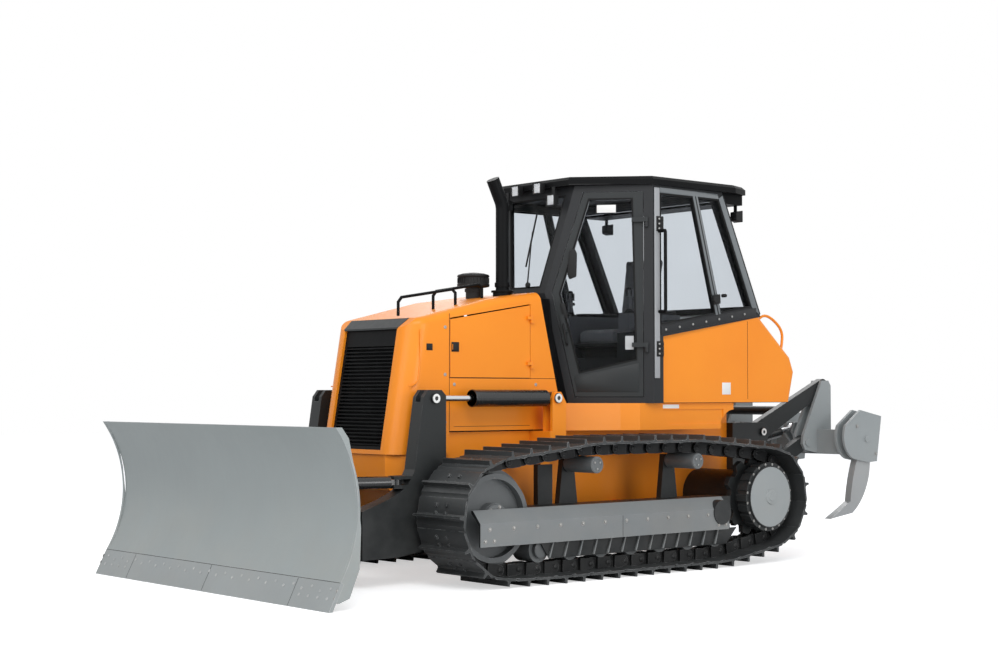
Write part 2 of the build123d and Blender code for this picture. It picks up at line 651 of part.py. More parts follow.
def hood_line(y):
    """Height of the hood's top line over a station."""
    part = (y - HOOD_FRONT) / (HOOD_REAR_Y - HOOD_FRONT)
    return HOOD_FRONT_TOP + (HOOD_REAR_TOP - HOOD_FRONT_TOP) * part


def hood_rear(z):
    """Station of the hood's leaning rear edge."""
    return HOOD_REAR_Y + (HOOD_REAR_TOP - z) * HOOD_REAR_RUN / (HOOD_REAR_TOP - HULL_TOP)


def nose_line(z):
    """Station of the leaning nose at a height."""
    return HOOD_FRONT + (z - HOOD_NOSE_BASE) * NOSE_SLOPE


def hood_volume(inset, open_rear=0.0):
    """Solid of the hood, its outline drawn in by a wall."""
    top = HOOD_REAR_TOP - inset
    with BuildPart() as volume:
        with BuildSketch(Plane.YZ.offset(-HOOD_HALF + inset)):
            with BuildLine():
                Polyline(
                    (nose_line(HOOD_NOSE_BASE) + inset, HOOD_NOSE_BASE),
                    (hood_rear(HOOD_NOSE_BASE) + open_rear, HOOD_NOSE_BASE),
                    (hood_rear(top) + open_rear, top),
                    (HOOD_CREST_Y, hood_line(HOOD_CREST_Y) + HOOD_CREST - inset),
                    (nose_line(NOSE_TOP_Z) + NOSE_TOP_RUN + inset, HOOD_FRONT_TOP - inset),
                    (nose_line(NOSE_TOP_Z) + inset, NOSE_TOP_Z - inset / 2),
                    close=True,
                )
            make_face()
        extrude(amount=2 * (HOOD_HALF - inset))
        upright = [e for e in volume.edges() if abs(e.tangent_at(0.5).Z) > 0.9
                   and e.center().Y < HOOD_FRONT + NOSE_LEAN + inset]
        if inset:
            chamfer(upright, length=HOOD_CORNER_IN)
        else:
            fillet(upright, radius=HOOD_CORNER_R)
        crown = [e for e in volume.edges() if e.center().Z > HOOD_FRONT_TOP - 60
                 and abs(e.center().X) > HOOD_HALF - inset - 1]
        crown = [e for e in crown if abs(e.tangent_at(0.5).Y) > 0.9]
        if inset:
            chamfer(crown, length=HOOD_SHOULDER_IN)
        else:
            fillet(crown, radius=HOOD_SHOULDER_R)
    return volume.part


DOOR_TOP_DROP = 78.0
SIDE_DOOR_FRONT = HOOD_SEAM_Y + 4
SIDE_DOOR_REAR = -612.0
PANEL_GAP = 5.0
HINGE_PIN_R = 6.0
ENGINE_HINGES = (1510.0, 1850.0)     # foot of each hinge
HINGE_X = HOOD_HALF + 12.0


def side_door_outline(inset):
    """Upper engine panel as (y, z) corners, drawn in by a gap."""
    return [
        (SIDE_DOOR_FRONT + inset, HOOD_SEAM_Z + inset),
        (SIDE_DOOR_REAR - inset, HOOD_SEAM_Z + inset),
        (SIDE_DOOR_REAR - inset, hood_line(SIDE_DOOR_REAR) - DOOR_TOP_DROP - 2 * inset),
        (SIDE_DOOR_FRONT + inset, hood_line(SIDE_DOOR_FRONT) - DOOR_TOP_DROP - 2 * inset),
    ]


hood_outer = hood_volume(0.0)
with BuildPart() as hood:
    add(hood_outer)
    add(hood_volume(HOOD_WALL, open_rear=60.0), mode=Mode.SUBTRACT)
    # the side panels end above the main frame behind the nose
    block((-HOOD_HALF - 5, HOOD_HALF + 5), (HOOD_SEAM_Y, HOOD_REAR_Y + 300),
          (HOOD_NOSE_BASE - 5, HOOD_BOTTOM + 10), mode=Mode.SUBTRACT)
    block((-GRILLE_HALF, GRILLE_HALF), (HOOD_FRONT - 40, HOOD_FRONT + NOSE_LEAN + 90),
          (GRILLE_BASE, GRILLE_PANEL_TOP), mode=Mode.SUBTRACT)
    side_form(side_door_outline(0.0), -HOOD_HALF - 10, HOOD_HALF + 10, mode=Mode.SUBTRACT)
    # hinge lugs with their pins, behind the engine side doors
    for side in (-1, 1):
        for lug_z in ENGINE_HINGES:
            block((side * (HOOD_HALF - 2), side * (HINGE_X + 8)),
                  (SIDE_DOOR_REAR, SIDE_DOOR_REAR + 30), (lug_z, lug_z + 24))
            block((side * (HOOD_HALF + MOVE_GAP / 2), side * (HINGE_X + 8)),
                  (SIDE_DOOR_REAR - 8, SIDE_DOOR_REAR + 1), (lug_z, lug_z + 24))
            disc_z(side * HINGE_X, SIDE_DOOR_REAR - 2, HINGE_PIN_R, lug_z, lug_z + 60)
hood.part.label = "hood"
export_step(hood.part, "parts/hood.step")

LATCH_Y = SIDE_DOOR_FRONT + 45.0
with BuildPart() as engine_door_left:
    side_form(side_door_outline(PANEL_GAP), HOOD_HALF - HOOD_WALL, HOOD_HALF)
    for lug_z in ENGINE_HINGES:
        block((HOOD_HALF - 4, HINGE_X + 9), (SIDE_DOOR_REAR - 42, SIDE_DOOR_REAR - PANEL_GAP - 1),
              (lug_z + 26, lug_z + 50))
        disc_z(HINGE_X, SIDE_DOOR_REAR - 2, HINGE_PIN_R + 4, lug_z + 26, lug_z + 50)
        disc_z(HINGE_X, SIDE_DOOR_REAR - 2, HINGE_PIN_R + 2 * FIT, lug_z, lug_z + 60,
               mode=Mode.SUBTRACT)
    block((HOOD_HALF - 1, HOOD_HALF + 9), (LATCH_Y - 25, LATCH_Y + 25), (1640, 1680))
engine_door_left.part.label = "engine_door_left"
export_step(engine_door_left.part, "parts/engine_door_left.step")

with BuildPart() as engine_door_right:
    mirror(engine_door_left.part, about=Plane.YZ)
engine_door_right.part.label = "engine_door_right"
export_step(engine_door_right.part, "parts/engine_door_right.step")

# ---------------------------------------------------------------- grille
LOUVRE_DEPTH = 34.0
LOUVRE_PLATE = 9.0
LOUVRE_DROP = 8.0            # fall of a louvre from its rear to its front edge
GRILLE_SET = 20.0            # grille face behind the nose's outer face
GRILLE_SHEET = 12.0
GRILLE_RIM = 24.0


def grille_slab(z_from, z_to, depth_from, depth_to, x_from, x_to):
    """Slab parallel to the leaning nose, between two depths behind the grille's face."""
    near_low, near_high = nose_line(z_from) + GRILLE_SET, nose_line(z_to) + GRILLE_SET
    side_form([
        (near_low + depth_from, z_from), (near_high + depth_from, z_to),
        (near_high + depth_to, z_to), (near_low + depth_to, z_from),
    ], x_from, x_to)


with BuildPart() as grille:
    # backing sheet, rim and the plain panel over the louvres
    edge = GRILLE_HALF - FIT
    grille_slab(GRILLE_BASE + FIT, GRILLE_PANEL_TOP - FIT, LOUVRE_DEPTH, LOUVRE_DEPTH + GRILLE_SHEET,
                -edge, edge)
    grille_slab(GRILLE_TOP, GRILLE_PANEL_TOP - FIT, 0, LOUVRE_DEPTH, -edge, edge)
    grille_slab(GRILLE_BASE + FIT, GRILLE_BASE + GRILLE_RIM, 0, LOUVRE_DEPTH, -edge, edge)
    for side in (-1, 1):
        grille_slab(GRILLE_BASE + FIT, GRILLE_TOP, 0, LOUVRE_DEPTH, side * edge,
                    side * (edge - GRILLE_RIM))
    pitch = (GRILLE_TOP - GRILLE_BASE - GRILLE_RIM) / LOUVRES
    for i in range(LOUVRES):
        foot = GRILLE_BASE + GRILLE_RIM + (i + 0.25) * pitch
        face = nose_line(foot) + GRILLE_SET
        side_form([
            (face + 2, foot), (face + 2, foot + LOUVRE_PLATE),
            (face + LOUVRE_DEPTH + 4, foot + LOUVRE_PLATE + LOUVRE_DROP),
            (face + LOUVRE_DEPTH + 4, foot + LOUVRE_DROP),
        ], -GRILLE_HALF + GRILLE_RIM - 2, GRILLE_HALF - GRILLE_RIM + 2)
grille.part.label = "grille"
export_step(grille.part, "parts/grille.step")

# ---------------------------------------------------------------- stack, pre-cleaner, rails
STACK_X = 200.0
STACK_Y = -650.0
STACK_R = 50.0
STACK_BEND_R = 160.0
STACK_TOP = 2945.0
with BuildPart() as exhaust_stack:
    with BuildLine() as stack_line:
        FilletPolyline((STACK_X, STACK_Y, hood_line(STACK_Y) - 30),
                       (STACK_X, STACK_Y, STACK_TOP - 190),
                       (STACK_X, STACK_Y - 95, STACK_TOP), radius=STACK_BEND_R)
    with BuildSketch(Plane.XY.offset(hood_line(STACK_Y) - 30)):
        with Locations((STACK_X, STACK_Y)):
            Circle(STACK_R)
    sweep(path=stack_line.line)
    disc_z(STACK_X, STACK_Y, STACK_R + 22, hood_line(STACK_Y) - 30, hood_line(STACK_Y) + 25)
    add(hood_outer, mode=Mode.SUBTRACT)
exhaust_stack.part.label = "exhaust_stack"
export_step(exhaust_stack.part, "parts/exhaust_stack.step")

CLEANER_Y = -770.0
CLEANER_R = 125.0
with BuildPart() as pre_cleaner:
    disc_z(0, CLEANER_Y, 58, hood_line(CLEANER_Y) - 30, 2130)
    disc_z(0, CLEANER_Y, CLEANER_R, 2130, 2245)
    chamfer(pre_cleaner.edges().group_by(Axis.Z)[-1], length=26)
    add(hood_outer, mode=Mode.SUBTRACT)
pre_cleaner.part.label = "pre_cleaner"
export_step(pre_cleaner.part, "parts/pre_cleaner.step")

RAIL_R = 11.0
RAIL_RISE = 115.0
# rails on the left of the hood: (x, front foot, rear foot)
RAILS = ((300.0, -1715.0, -1190.0), (215.0, -1330.0, -865.0))
with BuildPart() as hood_rails:
    for x, front, rear in RAILS:
        bent_tube([
            (x, front, hood_line(front) - 15), (x, front, hood_line(front) + RAIL_RISE),
            (x, rear, hood_line(rear) + RAIL_RISE), (x, rear, hood_line(rear) - 15),
        ], RAIL_R, 30)
    add(hood_outer, mode=Mode.SUBTRACT)
hood_rails.part.label = "hood_rails"
export_step(hood_rails.part, "parts/hood_rails.step")

# ================================================================ fenders and rear body
FENDER_BASE = HULL_TOP
FENDER_IN = HULL_HALF - HULL_WALL
FENDER_OUT = 830.0
FENDER_REAR = 1250.0
PRESSING = 8.0
with BuildPart() as fenders:
    plan_form([
        (FENDER_IN, -440), (HOOD_HALF + 60, -360), (CAB_B_X - 130, 60), (FENDER_OUT, 190),
        (FENDER_OUT, FENDER_REAR), (FENDER_IN, FENDER_REAR),
    ], FENDER_BASE, CAB_FLOOR_Z)
    # pressed panel in the outer face and the swept-up rear end
    side_form([(430, 1200), (500, 1085), (1130, 1085), (1130, 1200)],
              FENDER_OUT - PRESSING, FENDER_OUT + 1, mode=Mode.SUBTRACT)
    with BuildSketch(Plane.YZ.offset(HULL_HALF)) as sweep_up:
        with Locations((FENDER_REAR, FENDER_BASE)):
            Circle(150)
    extrude(sweep_up.sketch, amount=FENDER_OUT, mode=Mode.SUBTRACT)
    # the fork of the lift cylinder stands ahead of it
    block((HULL_HALF - 1, lift_out + LIFT_CHEEK + 2), (-500, LIFT_BASE_Y + 92),
          (FENDER_BASE - 1, CAB_FLOOR_Z + 1), mode=Mode.SUBTRACT)
    add(hood_outer, mode=Mode.SUBTRACT)
    mirror(about=Plane.YZ)
fenders.part.label = "fenders"
export_step(fenders.part, "parts/fenders.step")

BODY_FRONT = 400.0
TANK_REAR = 1989.0
BODY_HALF = CAB_REAR_X
SILL_FRONT_Z = 1762.0
TUB_HALF = 470.0
TUB_FRONT = BODY_FRONT - 10.0
TUB_REAR = 1180.0
TUB_Z = 1560.0
BODY_EDGE_R = 40.0
with BuildPart() as rear_body:
    side_form([
        (BODY_FRONT, CAB_FLOOR_Z), (BODY_FRONT, SILL_FRONT_Z), (CAB_SILL_Y, CAB_SILL_Z),
        (TANK_REAR - 50, CAB_FLOOR_Z + 374), (TANK_REAR, CAB_FLOOR_Z + 251),
        (TANK_REAR - 66, CAB_FLOOR_Z),
    ], -BODY_HALF, BODY_HALF)
    rear_edges = [e for e in rear_body.edges() if abs(e.center().X) > BODY_HALF - 1
                  and e.center().Y > CAB_SILL_Y + 40]
    fillet([e for e in rear_edges if e.center().Z > CAB_FLOOR_Z + 1], radius=BODY_EDGE_R)
    block((-TUB_HALF, TUB_HALF), (BODY_FRONT - 1, TUB_REAR), (TUB_Z, CAB_SILL_Z),
          mode=Mode.SUBTRACT)
    # foot of the tank on the main frame, behind the fenders
    block((-HULL_HALF, HULL_HALF), (FENDER_REAR + 5, HULL_REAR), (HULL_TOP, CAB_FLOOR_Z + 1))
rear_body.part.label = "rear_body"
export_step(rear_body.part, "parts/rear_body.step")

# ================================================================ cab
DOOR_LEN = hypot(DOOR_SLOPE, 1.0)
door_plane = Plane(origin=(CAB_B_X, CAB_B_Y, 0),
                   x_dir=(DOOR_SLOPE / DOOR_LEN, 1 / DOOR_LEN, 0),
                   z_dir=(1 / DOOR_LEN, -DOOR_SLOPE / DOOR_LEN, 0))


def cab_nose(z):
    """Station of the leaning windscreen plane at a height above the knee."""
    part = (z - CAB_KNEE_Z) / (CAB_TOP_Z - CAB_KNEE_Z)
    return CAB_KNEE_Y + (CAB_FRONT_TOP_Y - CAB_KNEE_Y) * part


def cab_half(y):
    """Half width of the cab on its slanted door planes."""
    return CAB_B_X - (CAB_B_Y - y) * DOOR_SLOPE


def cab_tail(z):
    """Station of the leaning rear plane at a height."""
    part = (z - CAB_SILL_Z) / (CAB_TOP_Z - CAB_SILL_Z)
    return CAB_SILL_Y + (CAB_REAR_TOP_Y - CAB_SILL_Y) * part


def cab_volume(inset, headroom=0.0):
    """Solid of the cab with its seat tub, every wall drawn in by the inset."""
    top = CAB_TOP_Z + headroom
    with BuildPart() as volume:
        with BuildSketch(Plane.XY.offset(CAB_FLOOR_Z)):
            with BuildLine():
                Polyline((cab_half(CAB_KNEE_Y), CAB_KNEE_Y), (CAB_B_X, CAB_B_Y),
                         (CAB_REAR_X, CAB_SILL_Y), (-CAB_REAR_X, CAB_SILL_Y),
                         (-CAB_B_X, CAB_B_Y), (-cab_half(CAB_KNEE_Y), CAB_KNEE_Y), close=True)
            make_face()
            if inset:
                offset(amount=-inset, kind=Kind.INTERSECTION, mode=Mode.REPLACE)
        extrude(amount=top + 200 - CAB_FLOOR_Z)
        with BuildSketch(Plane.YZ.offset(-CAB_B_X)) as side:
            with BuildLine():
                Polyline((CAB_FRONT_BASE_Y, CAB_FLOOR_Z), (BODY_FRONT, CAB_FLOOR_Z),
                         (BODY_FRONT, SILL_FRONT_Z), (CAB_SILL_Y, CAB_SILL_Z),
                         (cab_tail(top), top), (cab_nose(top), top), (CAB_KNEE_Y, CAB_KNEE_Z),
                         close=True)
            make_face()
            if inset:
                offset(amount=-inset, kind=Kind.INTERSECTION, mode=Mode.REPLACE)
        extrude(amount=2 * CAB_B_X, mode=Mode.INTERSECT)
        block((-TUB_HALF + inset + MOVE_GAP, TUB_HALF - inset - MOVE_GAP),
              (TUB_FRONT - inset, TUB_REAR - inset - MOVE_GAP),
              (TUB_Z + inset, CAB_SILL_Z))
    return volume.part


# Door outline on its plane: (distance ahead of the hinge pillar, height).
DOOR_TOP = CAB_TOP_Z - 55.0
PANE_TOP = DOOR_TOP - 58.0
DOOR_OUTLINE = [(75.0, 1300.0), (600.0, 1300.0), (778.0, CAB_KNEE_Z), (530.0, DOOR_TOP),
                (75.0, DOOR_TOP)]
PANE_OUTLINE = [(135.0, 1590.0), (562.0, 1492.0), (712.0, CAB_KNEE_Z - 5), (488.0, PANE_TOP),
                (165.0, PANE_TOP)]
LATCH_OUTLINE = [(655.0, 1800.0), (690.0, 1800.0), (720.0, 1930.0), (686.0, 1930.0)]
DOOR_THICK = 40.0
SEAL = 5.0


def on_door(corners, inset, depth_from, depth_to, mode=Mode.ADD):
    """Outline on the left door's plane, solid between two depths under its face."""
    with BuildSketch(door_plane.offset(-depth_from)) as outline:
        with BuildLine():
            Polyline(*[(-ahead, height) for ahead, height in corners], close=True)
        make_face()
        if inset:
            offset(amount=-inset, kind=Kind.INTERSECTION, mode=Mode.REPLACE)
    return extrude(outline.sketch, amount=-(depth_to - depth_from), mode=mode)


SIDE_PANE_TOP = CAB_TOP_Z - 60.0
SIDE_PANES = (
    [(365.0, 1850.0), (1010.0, 1952.0), (740.0, SIDE_PANE_TOP), (365.0, SIDE_PANE_TOP)],
    [(1060.0, 1960.0), (1445.0, 2021.0), (1045.0, SIDE_PANE_TOP), (790.0, SIDE_PANE_TOP)],
)


def window_prisms(inset):
    """Prisms through the fixed windows, each drawn in by the fit of its pane."""
    with BuildPart() as prisms:
        low, high = CAB_KNEE_Z + 45 + inset, CAB_TOP_Z - 65 - inset
        front_form([
            (-cab_half(cab_nose(low)) + 72 + inset, low),
            (cab_half(cab_nose(low)) - 72 - inset, low),
            (cab_half(cab_nose(high)) - 72 - inset, high),
            (-cab_half(cab_nose(high)) + 72 + inset, high),
        ], CAB_KNEE_Y - 60, CAB_KNEE_Y + 340)
        front_form([
            (-745 + inset, 2030 + inset), (745 - inset, 2030 + inset),
            (745 - inset, high), (-745 + inset, high),
        ], CAB_REAR_TOP_Y - 90, CAB_SILL_Y + 60)
        for corners in SIDE_PANES:
            with BuildSketch(Plane.YZ.offset(CAB_REAR_X - 90)) as pane:
                with BuildLine():
                    Polyline(*corners, close=True)
                make_face()
                if inset:
                    offset(amount=-inset, kind=Kind.INTERSECTION, mode=Mode.REPLACE)
            extrude(pane.sketch, amount=160)
        mirror(about=Plane.YZ)
    return prisms.part


HINGE_OUT = 18.0          # hinge pin outside the door's face
HINGE_BACK = 20.0         # hinge pin behind the door's rear edge
HINGE_R = 9.0
HINGE_ZS = (1640.0, CAB_TOP_Z - 325.0)
hinge_at = Vector(CAB_B_X, CAB_B_Y, 0) + door_plane.z_dir * HINGE_OUT \
    - door_plane.x_dir * (DOOR_OUTLINE[0][0] - SEAL - HINGE_BACK)

with BuildPart() as cab_frame:
    add(cab_volume(0.0))
    add(cab_volume(CAB_WALL, headroom=2 * CAB_WALL), mode=Mode.SUBTRACT)
    add(window_prisms(0.0), mode=Mode.SUBTRACT)
    on_door(DOOR_OUTLINE, -SEAL, -15, DOOR_THICK + 40, mode=Mode.SUBTRACT)
    # mirrored opening of the right door
    add(mirror(on_door(DOOR_OUTLINE, -SEAL, -15, DOOR_THICK + 40, mode=Mode.PRIVATE),
               about=Plane.YZ, mode=Mode.PRIVATE), mode=Mode.SUBTRACT)
    # fixed halves of the door hinges with their pins
    for side in (-1, 1):
        for z in HINGE_ZS:
            disc_z(side * hinge_at.X, hinge_at.Y, HINGE_R + 7, z, z + 34)
            block((side * (hinge_at.X - 22), side * hinge_at.X), (hinge_at.Y, hinge_at.Y + 34),
                  (z, z + 34))
            disc_z(side * hinge_at.X, hinge_at.Y, HINGE_R, z, z + 78)
cab_frame.part.label = "cab_frame"
export_step(cab_frame.part, "parts/cab_frame.step")

COWL_TOP = 2050.0
COWL_HALF = HOOD_HALF - 40.0
COWL_TAPER = 150.0           # how much narrower each side is at the cab
with BuildPart() as cowl:
    # closed cowl from the hood's rear edge to the foot of the windscreen
    side_form([
        (hood_rear(CAB_FLOOR_Z) - 60, CAB_FLOOR_Z), (CAB_FRONT_BASE_Y, CAB_FLOOR_Z),
        (CAB_KNEE_Y, COWL_TOP), (hood_rear(COWL_TOP) - 60, COWL_TOP),
    ], -COWL_HALF, COWL_HALF)
    plan_form([
        (-COWL_HALF, HOOD_REAR_Y - 100), (COWL_HALF, HOOD_REAR_Y - 100), (COWL_HALF, HOOD_REAR_Y),
        (COWL_HALF - COWL_TAPER, CAB_KNEE_Y), (COWL_HALF - COWL_TAPER, CAB_FRONT_BASE_Y),
        (-COWL_HALF + COWL_TAPER, CAB_FRONT_BASE_Y), (-COWL_HALF + COWL_TAPER, CAB_KNEE_Y),
        (-COWL_HALF, HOOD_REAR_Y),
    ], CAB_FLOOR_Z, COWL_TOP, mode=Mode.INTERSECT)
    add(hood_outer, mode=Mode.SUBTRACT)
    add(cab_volume(0.0), mode=Mode.SUBTRACT)
cowl.part.label = "cowl"
export_step(cowl.part, "parts/cowl.step")

with BuildPart() as cab_glass:
    add(cab_volume(CAB_WALL / 2 - GLASS / 2, headroom=CAB_WALL))
    add(cab_volume(CAB_WALL / 2 + GLASS / 2, headroom=CAB_WALL), mode=Mode.SUBTRACT)
    add(window_prisms(FIT), mode=Mode.INTERSECT)
cab_glass.part.label = "cab_glass"
export_step(cab_glass.part, "parts/cab_glass.step")

with BuildPart() as door_left:
    on_door(DOOR_OUTLINE, 0, 0, DOOR_THICK)
    on_door(PANE_OUTLINE, 0, -1, DOOR_THICK + 1, mode=Mode.SUBTRACT)
    # hinge straps round the pins
    for z in HINGE_ZS:
        strap = z + 38
        with BuildSketch(Plane.XY.offset(strap)) as leaf:
            with Locations((hinge_at.X, hinge_at.Y)):
                Circle(HINGE_R + 7)
            with BuildLine():
                root = hinge_at - door_plane.x_dir * 110
                heel = hinge_at - door_plane.x_dir * (HINGE_BACK + 8)
                out = door_plane.z_dir * (HINGE_R + 7)
                down = door_plane.z_dir * (HINGE_OUT + 1)
                Polyline(tuple(hinge_at + out)[:2], tuple(root + out)[:2], tuple(root - down)[:2],
                         tuple(heel - down)[:2], tuple(hinge_at - out * 0.8)[:2], close=True)
            make_face()
        extrude(leaf.sketch, amount=34)
        disc_z(hinge_at.X, hinge_at.Y, HINGE_R + 2 * FIT, strap - 2, strap + 42, mode=Mode.SUBTRACT)
    # latch handle on the door's front stile
    on_door(LATCH_OUTLINE, 0, -24, 1)
door_left.part.label = "door_left"
export_step(door_left.part, "parts/door_left.step")

with BuildPart() as door_right:
    mirror(door_left.part, about=Plane.YZ)
door_right.part.label = "door_right"
export_step(door_right.part, "parts/door_right.step")

with BuildPart() as door_glass_left:
    on_door(PANE_OUTLINE, FIT, DOOR_THICK / 2 - GLASS / 2, DOOR_THICK / 2 + GLASS / 2)
door_glass_left.part.label = "door_glass_left"
export_step(door_glass_left.part, "parts/door_glass_left.step")

with BuildPart() as door_glass_right:
    mirror(door_glass_left.part, about=Plane.YZ)
door_glass_right.part.label = "door_glass_right"
export_step(door_glass_right.part, "parts/door_glass_right.step")

ROOF_OVERHANG = 25.0
ROOF_PEAK = 75.0             # roof past the windscreen
ROOF_FRONT_HALF = 425.0
ROOF_REAR_Y = 1395.0         # end of the overhang past the rear window
FASCIA = 80.0                # box under the overhang
with BuildPart() as cab_roof:
    plan_form([
        (-ROOF_FRONT_HALF, CAB_FRONT_TOP_Y - ROOF_PEAK),
        (ROOF_FRONT_HALF, CAB_FRONT_TOP_Y - ROOF_PEAK),
        (CAB_B_X + ROOF_OVERHANG, CAB_B_Y - 20), (CAB_B_X + ROOF_OVERHANG, ROOF_REAR_Y - 190),
        (CAB_REAR_X - 10, ROOF_REAR_Y), (-CAB_REAR_X + 10, ROOF_REAR_Y),
        (-CAB_B_X - ROOF_OVERHANG, ROOF_REAR_Y - 190), (-CAB_B_X - ROOF_OVERHANG, CAB_B_Y - 20),
    ], CAB_TOP_Z, CAB_TOP_Z + ROOF_THICK)
    chamfer(cab_roof.edges().group_by(Axis.Z)[-1], length=24)
    block((-CAB_REAR_X + 40, CAB_REAR_X - 40), (cab_tail(CAB_TOP_Z - FASCIA) + 10, ROOF_REAR_Y - 5),
          (CAB_TOP_Z - FASCIA, CAB_TOP_Z))
cab_roof.part.label = "cab_roof"
export_step(cab_roof.part, "parts/cab_roof.step")

TUB_FLOOR = TUB_Z + CAB_WALL
CAB_INNER_FLOOR = CAB_FLOOR_Z + CAB_WALL
with BuildPart() as console:
    # dash under the windscreen and the two arm consoles beside the seat
    side_form([(-60, CAB_INNER_FLOOR), (60, CAB_INNER_FLOOR), (10, 1940), (-110, 2045),
               (-170, 2030), (-160, 1940)], -170, 170)
    for side in (-1, 1):
        block((side * 285, side * 405), (500, 1080), (TUB_FLOOR, 1960))
        # control lever
        block((side * 330, side * 360), (545, 575), (1959, 2090))
        block((side * 320, side * 370), (535, 585), (2090, 2150))
console.part.label = "console"
export_step(console.part, "parts/console.step")

SEAT_HALF = 250.0
with BuildPart() as seat:
    block((-SEAT_HALF + 60, SEAT_HALF - 60), (540, 960), (TUB_FLOOR, 1700))
    block((-SEAT_HALF, SEAT_HALF), (500, 1010), (1700, 1830))
    side_form([(930, 1830), (1010, 1830), (1120, 2480), (1050, 2500)], -SEAT_HALF + 10,
              SEAT_HALF - 10)
    fillet(seat.edges().group_by(Axis.Z)[-1], radius=20)
seat.part.label = "seat"
export_step(seat.part, "parts/seat.step")

LIGHT = 95.0
LIGHT_DEEP = 62.0
UPPER_LIGHT_X = 130.0
ROOF_EDGE_Y = CAB_FRONT_TOP_Y - ROOF_PEAK
LIGHT_Y = ROOF_EDGE_Y - 51
REAR_LIGHT_Y = ROOF_REAR_Y - 45
# work lights: (x, foremost y, z, top of the bracket)
LIGHTS = [
    (270.0, LIGHT_Y, CAB_TOP_Z - 105, CAB_TOP_Z), (-270.0, LIGHT_Y, CAB_TOP_Z - 105, CAB_TOP_Z),
    (750.0, REAR_LIGHT_Y, CAB_TOP_Z - 165, CAB_TOP_Z - FASCIA),
    (-750.0, REAR_LIGHT_Y, CAB_TOP_Z - 165, CAB_TOP_Z - FASCIA),
]
with BuildPart() as work_lights:
    for x, front, z, top in LIGHTS:
        block((x - LIGHT / 2, x + LIGHT / 2), (front, front + LIGHT_DEEP),
              (z - LIGHT / 2, z + LIGHT / 2))
        hung = (front + 2, front + 58) if top < CAB_TOP_Z else (front + 40, front + 61)
        block((x - 12, x + 12), hung, (z + LIGHT / 2 - 1, top))
    # middle pair on the roof's front edge
    for x in (-UPPER_LIGHT_X, UPPER_LIGHT_X):
        block((x - LIGHT / 2, x + LIGHT / 2), (ROOF_EDGE_Y - 4 - LIGHT_DEEP, ROOF_EDGE_Y - 4),
              (CAB_TOP_Z - 50, CAB_TOP_Z - 50 + LIGHT))
        block((x - 20, x + 20), (ROOF_EDGE_Y - 5, ROOF_EDGE_Y), (CAB_TOP_Z + 5, CAB_TOP_Z + 35))
work_lights.part.label = "work_lights"
export_step(work_lights.part, "parts/work_lights.step")

BAR_Y = CAB_B_Y + 60
BAR_BASE = 1950.0
BAR_TOP = CAB_TOP_Z - 355
LOOP_X = BODY_HALF - 120
with BuildPart() as grab_handles:
    # upright grab bars behind the door hinges and loops on the rear body
    out = CAB_B_X + 75
    bent_tube([(CAB_B_X - 18, BAR_Y, BAR_BASE), (out, BAR_Y, BAR_BASE), (out, BAR_Y, BAR_TOP),
               (CAB_B_X - 18, BAR_Y, BAR_TOP)], 14, 25)
    bent_tube([(LOOP_X, CAB_SILL_Y + 40, CAB_SILL_Z - 65),
               (LOOP_X, CAB_SILL_Y + 190, CAB_SILL_Z + 35),
               (LOOP_X, CAB_SILL_Y + 420, CAB_SILL_Z - 95),
               (LOOP_X, TANK_REAR - 44, CAB_FLOOR_Z + 340)], 12, 35)
    mirror(about=Plane.YZ)
    add(cab_frame.part, mode=Mode.SUBTRACT)
    add(rear_body.part, mode=Mode.SUBTRACT)
grab_handles.part.label = "grab_handles"
export_step(grab_handles.part, "parts/grab_handles.step")

